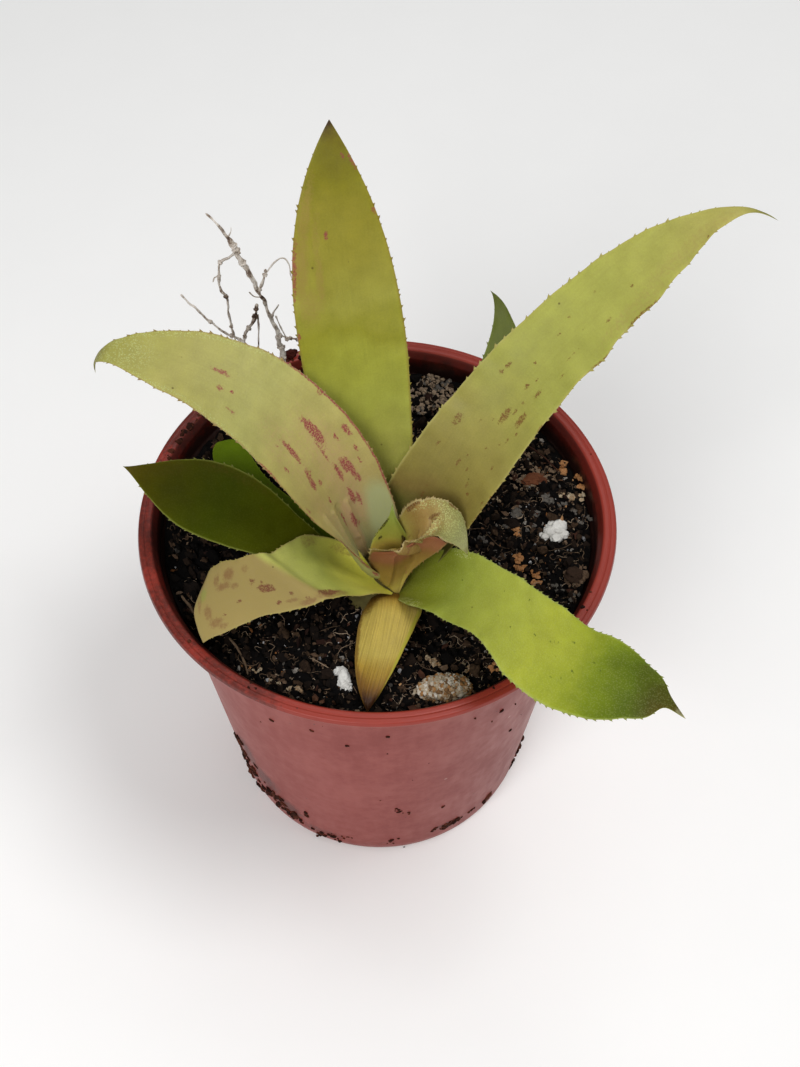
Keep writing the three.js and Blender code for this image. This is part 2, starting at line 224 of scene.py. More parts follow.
def place(name, part, look, nodes=(), sharp=40.0):
    """Writes a part in millimetres into a mesh in metres, smooth but for edges over `sharp` degrees,
    rides it on the root body, and hides the parts of the imported model that it stands for."""
    sizes = (part["faces"] >= 0).sum(1)
    loops = part["faces"][part["faces"] >= 0]
    mesh = bpy.data.meshes.new(name)
    mesh.vertices.add(len(part["points"]))
    mesh.vertices.foreach_set("co", (part["points"] * MM).astype(np.float32).ravel())
    mesh.loops.add(len(loops))
    mesh.loops.foreach_set("vertex_index", loops.astype(np.int32))
    mesh.polygons.add(len(sizes))
    mesh.polygons.foreach_set("loop_start", (np.cumsum(sizes) - sizes).astype(np.int32))
    mesh.update(calc_edges=True)
    mesh.polygons.foreach_set("use_smooth", np.ones(len(sizes), bool))
    for key, values in part["data"].items():
        kind, field = ("FLOAT", "value") if values.shape[1] == 1 else ("FLOAT_VECTOR", "vector")
        layer = mesh.attributes.new(key, kind, "POINT")
        layer.data.foreach_set(field, values.astype(np.float32).ravel())
    if mesh.validate():
        raise RuntimeError(f"the mesh of {name} had faults")
    mesh.set_sharp_from_angle(angle=math.radians(sharp))
    mesh.materials.append(look)
    piece = shown(name, mesh)
    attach(piece, "root")
    if nodes:
        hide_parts(*nodes)


# ---- materials ----------------------------------------------------------------------------------
# Settings of nodes: a product, a product plus a value, and a range with soft ends.
TIMES, SUM = {"operation": "MULTIPLY"}, {"operation": "MULTIPLY_ADD"}
SOFT = {"interpolation_type": "SMOOTHSTEP"}


def feed(node, inputs):
    """Gives a node's inputs, by place or by name, their values or the sockets that they link from."""
    for key, value in inputs.items() if isinstance(inputs, dict) else enumerate(inputs):
        if isinstance(value, bpy.types.NodeSocket):
            node.id_data.links.new(value, node.inputs[key])
        else:
            node.inputs[key].default_value = value


def add(tree, kind, inputs=(), stops=(), **settings):
    """Adds a node with its settings, colour stops and inputs; gives its outputs."""
    made = tree.nodes.new("ShaderNode" + kind)
    for key, value in settings.items():
        setattr(made, key, value)
    if stops:
        ramp = made.color_ramp.elements
        for end in (0, -1):
            ramp[end].position, ramp[end].color = stops[end][0], paint(stops[end][1])
        for at, colour in stops[1:-1]:
            ramp.new(at).color = paint(colour)
    feed(made, inputs)
    return made.outputs


def material(name, **fixed):
    """A new material with its shader's fixed values set: the material, its tree and its shader."""
    made = bpy.data.materials.new(name)
    made.use_nodes = True
    shader = made.node_tree.nodes["Principled BSDF"]
    feed(shader, {key.replace("_", " "): value for key, value in fixed.items()})
    return made, made.node_tree, shader


def in_mm(tree):
    """Object coordinates in millimetres."""
    return add(tree, "VectorMath", {0: add(tree, "TexCoord")["Object"], "Scale": 1 / MM},
               operation="SCALE")[0]


def weighted(tree, total, *terms):
    """A value plus other values, each times its factor."""
    for term, factor in terms:
        total = add(tree, "Math", (term, factor, total), **SUM)[0]
    return total


def dots(tree, way, scale, rare, outer, inner, full, **kind):
    """A mask of dots in the middles of random cells, only in cells whose shade is over `rare`. A dot
    fades from `full` at `inner` cells from its middle to 0 at `outer`."""
    cell = add(tree, "TexVoronoi", {"Vector": way, "Scale": scale})
    chosen = add(tree, "Math", (cell["Color"], rare), operation="GREATER_THAN")[0]
    dot = add(tree, "MapRange", (cell["Distance"], outer, inner, 0, full), **kind)[0]
    return add(tree, "Math", (chosen, dot), **TIMES)[0]


def layered(tree, colour, layers):
    """Lays colours, as hex, over one another, each where its mask says."""
    for mask, over in layers:
        colour = add(tree, "Mix", {0: mask, 6: colour, 7: paint(over)}, data_type="RGBA")[2]
    return colour


# ---- pot ----------------------------------------------------------------------------------------
def outer_wall(z):
    """Radius of the outside of the tapered wall at height z."""
    return FOOT_RADIUS + (SHOULDER_RADIUS - FOOT_RADIUS) * z / BAND_FOOT


def rounded(profile, radius, steps=5):
    """A profile with each inner corner replaced by a short curve that starts `radius` before it."""
    p = np.array(profile, float)
    out = [p[:1]]
    t = np.linspace(0, 1, steps)[:, None]
    for before, corner, after in zip(p[:-2], p[1:-1], p[2:]):
        a, b = before - corner, after - corner
        la, lb = np.linalg.norm(a), np.linalg.norm(b)
        start = corner + a * min(radius / la, 0.45)
        end = corner + b * min(radius / lb, 0.45)
        out.append((1 - t) ** 2 * start + 2 * t * (1 - t) * corner + t * t * end)
    out.append(p[-1:])
    return np.concatenate(out)


def spaced(profile, step):
    """A profile with points added so that none are further apart than `step`."""
    out = [profile[:1]]
    for a, b in zip(profile[:-1], profile[1:]):
        n = max(int(np.ceil(np.linalg.norm(b - a) / step)), 1)
        out.append(a + (b - a) * (np.arange(1, n + 1) / n)[:, None])
    return np.concatenate(out)


def pot_form(radius, angle, z):
    """Where a point of the turned profile lies on the real pot, which is a little out of round: the
    radius swells and shrinks by small waves round the pot, more towards the lip."""
    high = z / POT_HEIGHT
    out = 1 + high * (0.0022 * np.sin(2 * angle + 0.7) + 0.0012 * np.sin(5 * angle + 2.0))
    lift = 0.18 * high ** 6 * np.sin(3 * angle + 0.4)
    return np.stack([radius * out * np.cos(angle), radius * out * np.sin(angle), z + lift], -1)


def turned_part(profile, segments, marks=()):
    """A profile of radius and height carried round the pot's axis, with the stains and the painted shade
    of each place, and whether it is inside the pot."""
    r, z = profile.T
    inner = (np.arange(len(r)) > np.argmax(z)) & (r < MOUTH_RADIUS) & (z > FLOOR - 0.1)
    r, z, a = np.broadcast_arrays(r[:, None], z[:, None], np.arange(segments) * TAU / segments)
    return grid(pot_form(r, a, z), around=True, dirt=stain_and_shade_field(r, a, z, marks), inside=inner[:, None])


def stain_and_shade_field(r, angle, z, marks):
    """How stained the wall is, with painted shade on the lip round the pot's left: the highest of
    soft-edged spots given by angle, height and size.
    """
    field = np.zeros(np.broadcast(r, angle, z).shape)
    for turn, height, wide, tall, strength in marks:
        off = (np.degrees(angle) - turn + 180) % 360 - 180
        far = np.hypot(np.radians(off) * r / wide, (z - height) / tall)
        field = np.maximum(field, strength * np.clip(1.5 - far, 0, 1))
    return field


def drained_floor(z, segments, up):
    """The ring of the pot's floor that holds the drain holes, at height z: round each hole a strip
    runs from the hole's circle to the edge of that hole's share of the ring. With `up`, each hole
    gets its wall, from z to that height."""
    each = segments // DRAIN_COUNT
    inner, outer, side = DRAIN_CIRCLE - DRAIN_BAND, DRAIN_CIRCLE + DRAIN_BAND, 8
    parts = []
    for k in range(DRAIN_COUNT):
        a0, a1 = TAU * k / DRAIN_COUNT, TAU * (k + 1) / DRAIN_COUNT
        arc = np.linspace(a0, a1, each + 1)
        leg = np.linspace(inner, outer, side + 1)
        edge_r = np.concatenate([np.full(each, inner), leg[:-1], np.full(each, outer), leg[:0:-1]])
        edge_a = np.concatenate([arc[:-1], np.full(side, a1), arc[:0:-1], np.full(side, a0)])
        edge = pot_form(edge_r, edge_a, np.full(len(edge_r), z))
        mid = (a0 + a1) / 2
        centre = np.array([DRAIN_CIRCLE * math.cos(mid), DRAIN_CIRCLE * math.sin(mid), 0.0])
        away = np.stack([edge_r * np.cos(edge_a), edge_r * np.sin(edge_a), 0 * edge_r], -1) - centre
        circle = centre + unit(away) * DRAIN_RADIUS
        circle[:, 2] = z
        t = np.linspace(0, 1, 5)[:, None, None]
        parts.append(grid((1 - t) * circle[None] + t * edge[None], around=True))
        if up is not None:
            top = circle.copy()
            top[:, 2] = up
            parts.append(grid(np.stack([top, circle]), around=True))
    return joined(parts)


# Stains on the wall, and painted shade on the lip: angle, height, half width, half height, strength.
POT_STAINS_AND_SHADE = (
    (-142, 34, 5, 12, 0.8), (-135, 24, 7, 9, 0.8), (-126, 14, 7, 7, 0.8), (-112, 7, 9, 4, 0.7),
    (-90, 5, 9, 3, 0.5), (-62, 10, 6, 2.5, 0.8), (-44, 8, 3, 2, 0.7), (-20, 14, 4, 4, 0.6),
    # The rows at the lip darken it round the pot's back and left: soil stains, and on the left also painted
    # shade of that shaded side.
    (148, 107.5, 16, 4, 0.9), (172, 107.5, 14, 3, 0.7), (-170, 107.2, 14, 3, 0.75),
    (-148, 107.2, 16, 3, 0.8), (-124, 107.2, 16, 3, 0.8),
)
# Soil dried on to the wall: angle, height, spread in degrees and in height, count, size.
WALL_DIRT = (
    (-147, 30, 3, 4, 16, 0.75), (-150, 16, 4, 5, 18, 0.8), (-153, 5, 4, 2.5, 10, 0.8),
    (-142, 14, 3, 4, 16, 0.75), (-136, 13, 3, 3.5, 16, 0.7), (-131, 12, 2, 3, 14, 0.7),
    (-126, 9, 2, 2.5, 14, 0.7), (-123.5, 9, 1.2, 1.5, 8, 0.8), (-117.4, 17, 1, 1, 4, 0.5),
    (-113, 4.5, 2, 1.2, 12, 0.6), (-107, 6, 2, 1.2, 10, 0.55), (-102, 8, 1.6, 0.8, 6, 0.5),
    (-84.3, 7.4, 1.5, 1, 6, 0.5), (-84, 34.6, 0.5, 0.8, 5, 0.35), (-81.5, 32, 0.8, 0.8, 5, 0.35),
    (-79, 30.4, 0.6, 0.5, 4, 0.35), (-64.5, 9.3, 1.2, 0.8, 10, 0.6), (-61.6, 9.4, 1.4, 1.0, 12, 0.7),
    (-59, 9.6, 1.2, 0.8, 10, 0.6), (-68.4, 10.5, 1.0, 0.6, 6, 0.45), (-44, 8.2, 1.0, 1.0, 9, 0.8),
    (-52.4, 9.8, 1.2, 0.8, 6, 0.5), (-66.5, 27.2, 0.3, 0.3, 2, 0.45), (-21.6, 15.5, 1.5, 1.5, 10, 0.8),
    (-24, 9, 2, 2, 8, 0.6), (-107.5, 86.3, 0.3, 0.4, 2, 0.4), (-120.1, 82.6, 0.2, 0.3, 1, 0.4),
    (-86.3, 87.6, 0.2, 0.2, 1, 0.4), (-86.5, 76.4, 0.2, 0.2, 1, 0.4), (-98.1, 80.5, 0.3, 0.2, 2, 0.35),
    (-52.4, 79.8, 0.3, 0.3, 2, 0.4), (-54.8, 76.9, 0.2, 0.2, 1, 0.35), (-44, 57.9, 0.2, 0.2, 1, 0.35),
    (-62.3, 85.9, 0.3, 0.2, 2, 0.35), (-90, 60, 60, 30, 14, 0.16),
    (150, 30, 25, 20, 14, 0.4), (60, 22, 40, 15, 14, 0.45), (20, 12, 20, 6, 10, 0.5),
)
# Soil on the lip: angle, radius, spread in degrees, count, size.
LIP_CRUMBS = (
    (150, 57.0, 7, 30, 0.6), (141, 57.0, 5, 12, 0.5), (117, 57.2, 5, 20, 0.55), (105, 57.4, 5, 8, 0.4),
    (20, 57.6, 3, 2, 0.4), (2, 58.0, 2, 2, 0.4), (-70, 57.6, 30, 7, 0.3), (-130, 57.4, 20, 8, 0.35),
)


def wall_dirt(seed):
    """Crumbs of dried soil: knobbly balls pressed flat against the wall, in normal clusters, and
    others that lie along the lip."""
    rng = np.random.default_rng(seed)
    v, f = ball(1)
    flat, where, frames = [], [], []
    for turn, height, wide, tall, count, size in WALL_DIRT:
        a = np.radians(turn + wide * rng.normal(size=count))
        z = np.clip(height + tall * rng.normal(size=count), 0.6, BAND_FOOT - 1)
        r = outer_wall(z)
        where.append(np.stack([r * np.cos(a), r * np.sin(a), z], -1))
        own = size * (0.5 + rng.random((count, 1)))
        flat.append(own * (0.7 + 0.6 * rng.random((count, 3))) * np.array([0.55, 1.0, 1.0]))
        frames.append(a)
    for turn, radius, wide, count, size in LIP_CRUMBS:
        a = np.radians(turn + wide * rng.normal(size=count))
        r = np.clip(radius + 0.5 * rng.normal(size=count), 56.8, 59.2)
        own = size * (0.5 + rng.random((count, 1)))
        where.append(np.stack([r * np.cos(a), r * np.sin(a), POT_HEIGHT - 0.3 + 0.3 * own[:, 0]], -1))
        flat.append(own * (0.7 + 0.6 * rng.random((count, 3))) * np.array([1.0, 1.0, 0.6]))
        frames.append(a)
    where, flat, a = np.concatenate(where), np.concatenate(flat), np.concatenate(frames)
    body = v[None] * (1 + 0.16 * rng.normal(size=(len(a), len(v), 1))) * flat[:, None]
    c, s = np.cos(a)[:, None], np.sin(a)[:, None]
    x, y, z = np.moveaxis(body, -1, 0)
    body = np.stack([x * c - y * s, x * s + y * c, z], -1) + where[:, None]
    body[..., 2] += np.maximum(0.05 - body[..., 2].min(1), 0)[:, None]
    return copies(body, f, rng.random((len(a), 1)))


def pot_profile():
    """Half of the pot's section, from the floor's ring outside, up the wall, over the lip and down."""
    outside = [
        (DRAIN_CIRCLE + DRAIN_BAND, RECESS), (36.5, RECESS), (37.5, 0), (41.2, 0), (42.4, 1.2),
        (outer_wall(4), 4), (outer_wall(97.5), 97.5), (BAND_RADIUS - 0.8, BAND_FOOT),
        (BAND_RADIUS, BAND_FOOT + 1.4), (BAND_RADIUS + 0.6, POT_HEIGHT - 2.6),
        (LIP_RADIUS - 0.5, POT_HEIGHT - 2.0), (LIP_RADIUS, POT_HEIGHT - 1.3),
        (LIP_RADIUS - 0.35, POT_HEIGHT - 0.1), (LIP_RADIUS - 1.1, POT_HEIGHT),
        (58.5, POT_HEIGHT), (58.2, POT_HEIGHT - 0.2), (57.9, POT_HEIGHT - 0.05),
        (MOUTH_RADIUS + 0.3, POT_HEIGHT - 0.1), (MOUTH_RADIUS - 0.25, POT_HEIGHT - 0.8),
        (BAND_RADIUS - WALL + 0.35, POT_HEIGHT - 2.4), (BAND_RADIUS - WALL, BAND_FOOT + 1.9),
        (outer_wall(97.5) - WALL, 97.3), (outer_wall(FLOOR) - WALL, FLOOR + 1),
        (outer_wall(0) - WALL - 1.2, FLOOR), (DRAIN_CIRCLE + DRAIN_BAND, FLOOR),
    ]
    return spaced(rounded(outside, 0.3), 2.0)


def pot_part(segments=240):
    """The whole pot: turned wall and lip, the drained ring above and below, and the centre disc."""
    wall = turned_part(pot_profile(), segments, POT_STAINS_AND_SHADE)
    under = [(0, 0), (13, 0), (14.5, RECESS), (DRAIN_CIRCLE - DRAIN_BAND, RECESS)]
    above = [(DRAIN_CIRCLE - DRAIN_BAND, FLOOR), (0, FLOOR)]
    disc = turned_part(spaced(rounded(under, 0.3), 3.0), segments)
    bed = turned_part(spaced(np.array(above, float), 4.0), segments)
    below = drained_floor(RECESS, segments, FLOOR)
    over = drained_floor(FLOOR, segments, None)
    over["faces"] = over["faces"][:, ::-1]
    return joined([wall, disc, bed, below, over])


def pot_material(looks):
    """Injection-moulded polypropylene, terracotta coloured: satin, with a dull film of dust and limescale
    on the wall, rubbed bare along the lip, soil washed down the inside and dried on, and painted shade
    on the lip round the pot's left and on the inside wall."""
    made, tree, shader = material("polypropylene_terracotta", IOR=1.49, Specular_IOR_Level=0.36)
    way = in_mm(tree)
    down = add(tree, "VectorMath", (way, (0.35, 0.35, 0.05)), **TIMES)[0]
    side, _, height = add(tree, "SeparateXYZ", (way,))
    # Noise: clouds of dust 20 mm across, a finer bloom of 3 mm, faint runs down the wall, the ragged
    # edges of stains and painted shade and of grime, and the orange-peel of the moulding, 1.5 mm.
    clouds, bloom, runs, stain_and_shade_edge, washed, peel = (
        add(tree, "TexNoise", {"Vector": vector, "Scale": scale, "Detail": detail, "Roughness": rough})[0]
        for vector, scale, detail, rough in (
            (way, 0.05, 5, 0.62), (way, 0.3, 4, 0.6), (down, 1, 3, 0.5),
            (way, 0.7, 5, 0.75), (way, 0.35, 5, 0.7), (way, 0.7, 3, 0.5)))
    film = add(tree, "Math", (clouds, 0.7), **TIMES)[0]
    film = weighted(tree, film, (bloom, 0.5), (runs, 0.35))
    film = add(tree, "MapRange", (film, 0.5, 1.05, 0.15, 0.8), **SOFT)[0]
    # The film thins at the lip and towards the pot's left.
    for thinned in ((height, 107.2, 104.5, 0.5, 1), (side, -42, 5, 0.7, 0.95)):
        film = add(tree, "Math", (film, add(tree, "MapRange", thinned, **SOFT)[0]), **TIMES)[0]
    # Specks of soil 0.4 mm across, sparse, and lime spots of 1 mm, rarer still.
    specks = dots(tree, way, 0.36, 0.8, 0.11, 0.05, 1, **SOFT)
    lime = dots(tree, way, 0.14, 0.72, 0.085, 0.03, 0.55, **SOFT)
    # Red-brown stains where soil has dried and been rubbed off, painted shade on the lip round the pot's
    # left, and grime inside, down to the mix.
    dirt, inside = (add(tree, "Attribute", attribute_name=key)["Fac"] for key in ("dirt", "inside"))
    stain_and_shade_mask = add(tree, "MapRange", (weighted(tree, dirt, (stain_and_shade_edge, 1.3)), 1.05, 1.6, 0, 0.75), **SOFT)[0]
    low = weighted(tree, add(tree, "Math", (height, -1), **TIMES)[0], (washed, 9))
    low = add(tree, "MapRange", (low, -103.5, -97.5, 0.15, 0.95), **SOFT)[0]
    grime = add(tree, "Math", (inside, low), **TIMES)[0]
    # Inside the pot the wall is a darker red, 641a10: partly a wet film of soil, partly painted shade of
    # the pot's interior.
    colour = layered(tree, paint("933326"), ((film, looks.dust), (inside, "641a10"), (lime, "b89a90"),
                                             (stain_and_shade_mask, "3c1812"), (grime, "180c08"), (specks, "4a1c14")))
    relief = weighted(tree, peel, (stain_and_shade_mask, 2), (grime, 2.5))
    feed(shader, {
        "Base Color": colour,
        "Roughness": add(tree, "MapRange", (film, 0, 1, 0.36, 0.55), **SOFT)[0],
        "Normal": add(tree, "Bump", {"Height": relief, "Strength": 0.25, "Distance": 0.0001})[0]})
    return made


# ---- potting mix --------------------------------------------------------------------------------
def soil_top(x, y):
    """Height of the mix: a low mound about the stem and gentle lumps, banked up against the wall."""
    mound = 1.2 * np.exp(-((np.hypot(x - STEM[0], y - STEM[1]) / 18) ** 2))
    lumps = 0.45 * np.sin(x / 8 + 1) * np.cos(y / 9 - 0.5) + 0.25 * np.sin((x + y) / 5)
    return SOIL_LEVEL + mound + lumps + SOIL_BANK * (np.hypot(x, y) / SOIL_EDGE) ** 6


def soil_part(segments=320, rings=110):
    """The mix: a bumpy top over a plain plug that fills the pot. The top is the banked mound with
    waves 9, 4 and 2 mm long on it."""
    angle = np.arange(segments) * TAU / segments
    r = (SOIL_EDGE + 0.1) * np.linspace(1, 0, rings) ** 0.85
    x, y = r[:, None] * np.cos(angle), r[:, None] * np.sin(angle)
    bumps = 0.5 * waves(x, y, 9, 11) + 0.35 * waves(x, y, 4, 12) + 0.35 * waves(x, y, 1.8, 13)
    top = np.stack([x, y, soil_top(x, y) - 0.6 + bumps], -1)
    r, z = np.array([(0, FLOOR + SEAT), (outer_wall(0) - 3.3, FLOOR + SEAT),
                     (outer_wall(5) - WALL - 0.6, 5), (outer_wall(97.3) - WALL - 0.6, 97.3)]).T
    plug = np.stack(np.broadcast_arrays(r[:, None] * np.cos(angle), r[:, None] * np.sin(angle),
                                        z[:, None]), -1)
    return outward(welded(grid(np.concatenate([plug, top]), around=True)))


def ball(level):
    """A unit icosahedron, with each face split in four `level` times on the sphere."""
    g = (1 + 5 ** 0.5) / 2
    v = np.array([(-1, g, 0), (1, g, 0), (-1, -g, 0), (1, -g, 0), (0, -1, g), (0, 1, g),
                  (0, -1, -g), (0, 1, -g), (g, 0, -1), (g, 0, 1), (-g, 0, -1), (-g, 0, 1)], float)
    f = np.array([(0, 11, 5), (0, 5, 1), (0, 1, 7), (0, 7, 10), (0, 10, 11), (1, 5, 9), (5, 11, 4),
                  (11, 10, 2), (10, 7, 6), (7, 1, 8), (3, 9, 4), (3, 4, 2), (3, 2, 6), (3, 6, 8),
                  (3, 8, 9), (4, 9, 5), (2, 4, 11), (6, 2, 10), (8, 6, 7), (9, 8, 1)])
    v /= np.linalg.norm(v[0])
    f = np.insert(f, 3, -1, 1)
    for _ in range(level):
        a, b, c = (v[f[:, k]] for k in range(3))
        v = np.concatenate([a, b, c, unit(a + b), unit(b + c), unit(c + a)])
        a, b, c, ab, bc, ca = np.arange(6 * len(f)).reshape(6, -1)
        f = np.concatenate([np.stack(corners, 1) for corners in
                            ((a, ab, ca), (ab, b, bc), (ca, bc, c), (ab, bc, ca))])
        merged = welded({"points": v, "faces": np.insert(f, 3, -1, 1), "data": {}}, 1e-6)
        v, f = merged["points"], merged["faces"]
    return v, f


def turns(rng, count):
    """Random rotations, as (count, 3, 3), from random unit quaternions."""
    w, x, y, z = unit(rng.normal(size=(count, 4))).T
    return np.stack([
        np.stack([1 - 2 * (y * y + z * z), 2 * (x * y - z * w), 2 * (x * z + y * w)], -1),
        np.stack([2 * (x * y + z * w), 1 - 2 * (x * x + z * z), 2 * (y * z - x * w)], -1),
        np.stack([2 * (x * z - y * w), 2 * (y * z + x * w), 1 - 2 * (x * x + y * y)], -1)], 1)


def scattered(rng, count, low, high, lean=0.0):
    """Random places over the mix, by area, off the stem, with a size for each, small ones common.
    With `lean`, places at the right and the front are kept more often than the others."""
    r = STREWN_RADIUS * np.sqrt(rng.random(4 * count))
    a = TAU * rng.random(4 * count)
    x, y = r * np.cos(a), r * np.sin(a)
    side = 0.5 + 0.5 * (x - y) / (1.42 * STREWN_RADIUS)
    good = np.hypot(x - STEM[0], y - STEM[1]) > STEM_CLEAR
    good &= rng.random(4 * count) < 1 - lean * (1 - side)
    x, y = x[good][:count], y[good][:count]
    return x, y, low + (high - low) * rng.random(len(x)) ** 2.5


def crumbs(seed, count, low, high, shape=(1.0, 0.75, 0.6), rough=0.25, sunk=0.25, level=0, lean=0.0):
    """Crumbs scattered over the mix: balls with each corner pushed in or out, squashed and turned."""
    rng = np.random.default_rng(seed)
    x, y, size = scattered(rng, count, low, high, lean)
    v, f = ball(level)
    swell = 1 + rough * rng.normal(size=(len(x), len(v), 1))
    body = v[None] * swell * np.array(shape) * size[:, None, None]
    body = np.einsum("kij,kvj->kvi", turns(rng, len(x)), body)
    z = soil_top(x, y) - 0.4 - body[..., 2].min(1) * (1 - 2 * sunk)
    return copies(body + np.stack([x, y, z], -1)[:, None], f, rng.random((len(x), 1)))


def fibre_bits(seed, count, low, high, radius, curl, hump, lean=0.0):
    """Short bent fibres on the mix: three-sided rods along arcs that lie at small random tilts. A
    fibre's heading changes by `curl`, and its middle rises by up to `hump`."""
    rng = np.random.default_rng(seed)
    x, y, size = scattered(rng, count, low, high, lean)
    n, joints = len(x), 8
    t = np.linspace(-0.5, 0.5, joints)[None, :]
    turn, bend = TAU * rng.random((n, 1)), rng.normal(size=(n, 1)) * curl
    wiggle = rng.normal(size=(n, 1)) * curl * 0.8
    heading = turn + bend * t * 2 + wiggle * np.sin(9 * t + 3 * turn)
    length = size[:, None]
    step = length / (joints - 1)
    px = x[:, None] + np.cumsum(np.cos(heading) * step, 1) - 0.5 * length * np.cos(turn)
    py = y[:, None] + np.cumsum(np.sin(heading) * step, 1) - 0.5 * length * np.sin(turn)
    inside = np.hypot(px, py).max(1) < SOIL_EDGE
    px, py, heading = px[inside], py[inside], heading[inside]
    n = len(px)
    arch = (0.1 + hump * rng.random((n, 1))) * (1 - (2 * t) ** 2) * (0.5 + t * rng.normal(size=(n, 1)))
    pz = soil_top(px, py) + 0.25 + np.abs(arch)
    side = np.stack([-np.sin(heading), np.cos(heading), 0 * heading], -1)
    thick = radius * (0.6 + 0.8 * rng.random((n, 1, 1, 1)))
    thick = thick * (1 - 0.5 * np.abs(2 * t) ** 3)[..., None, None]
    phi = np.arange(3) * TAU / 3
    ring = np.cos(phi)[:, None] * side[:, :, None, :] + np.sin(phi)[:, None] * np.array([0, 0, 1.0])
    body = np.stack([px, py, pz], -1)[:, :, None, :] + ring * thick
    last = 3 * joints - 3
    faces = np.concatenate([grid(np.zeros((joints, 3, 3)), around=True)["faces"],
                            [(0, 2, 1, -1), (last, last + 1, last + 2, -1)]])
    return copies(body.reshape(n, 3 * joints, 3), faces, rng.random((n, 1)))


def knobs(v, seed, size, count=14):
    """Lumps on a unit ball from -1 to 1: the mean of plane waves about `size` radii long."""
    rng = np.random.default_rng(seed)
    way = rng.normal(size=(count, 3))
    way *= TAU / (size * (0.6 + 0.8 * rng.random((count, 1)))) / np.linalg.norm(way, axis=1)[:, None]
    return np.sin(v @ way.T + TAU * rng.random(count)).mean(-1) * math.sqrt(count) * 0.8


def lumps_at(seed, rows, level=1, rough=0.4, sunk=0.25):
    """Named grains: each row is x, y, half sizes in x, y and z, a turn in degrees about the vertical,
    and a tone. Each is a ball with knobs of two sizes, stretched, turned and let into the mix."""
    v, f = ball(level)
    parts = []
    for i, (x, y, *half, turn, tone) in enumerate(rows):
        lumps = knobs(v, seed + 7 * i, 0.9) + 0.6 * knobs(v, seed + 7 * i + 3, 0.9 * 0.42)
        body = turned(v * (1 + rough * lumps)[:, None] * np.array(half), turn)
        at = (x, y, soil_top(x, y) + half[2] * (1 - 2 * sunk))
        parts.append(copies((body + at)[None], f, tone))
    return joined(parts)


def heap(seed, x, y, half, count, size, tone):
    """Rows for lumps_at: a heap of `count` grains of about `size` spread within `half` about x, y."""
    rng = np.random.default_rng(seed)
    a, r = TAU * rng.random(count), np.sqrt(rng.random(count))
    own = size * (0.6 + 0.8 * rng.random((count, 3))) * np.array([1.0, 1.0, 0.7])
    return [(x + half[0] * r[i] * math.cos(a[i]), y + half[1] * r[i] * math.sin(a[i]), *own[i],
             360 * r[i], tone + 0.15 * (own[i, 0] / size - 1)) for i in range(count)]


def heaps(seed, half, tone, places):
    """Rows for several heaps of one tone at places of x, y, count and size."""
    return [row for k, (x, y, count, size) in enumerate(places)
            for row in heap(seed + k, x, y, half, count, size, tone)]


def crusted_stone(seed, x, y, half, turn, count, size):
    """A stone let into the mix with grains stuck all over it: a knobbly ball stretched by the half
    sizes, and small knobbly balls whose centres lie on it in random directions, fewer below. The
    grains have random tones, but most towards the stone's +x end are rusty."""
    rng = np.random.default_rng(seed)
    v, f = ball(3)
    lumps = knobs(v, seed, 0.9) + 0.6 * knobs(v, seed + 1, 0.35)
    core = v * (1 + 0.12 * lumps)[:, None] * np.array(half)
    way = unit(rng.normal(size=(count, 3)) + (0, 0, 0.5))
    g, gf = ball(1)
    own = size * (0.45 + 1.1 * rng.random((count, 1, 1)) ** 2)
    body = g[None] * (1 + 0.14 * rng.normal(size=(count, len(g), 1))) * own
    body = body * (0.7 + 0.6 * rng.random((count, 1, 3))) + (way * np.array(half) * 0.99)[:, None]
    rusty = rng.random(count) < 0.8 * smooth((way[:, 0] - 0.35) / 0.4)
    tone = np.where(rusty, RUSTY_TONE, 0.05 + 0.9 * rng.random(count) ** 0.75)
    both = joined([copies(core[None], f, 0.62), copies(body, gf, tone[:, None])])
    both["points"] = turned(both["points"], turn) + (x, y, soil_top(x, y) + 0.45 * half[2])
    return both


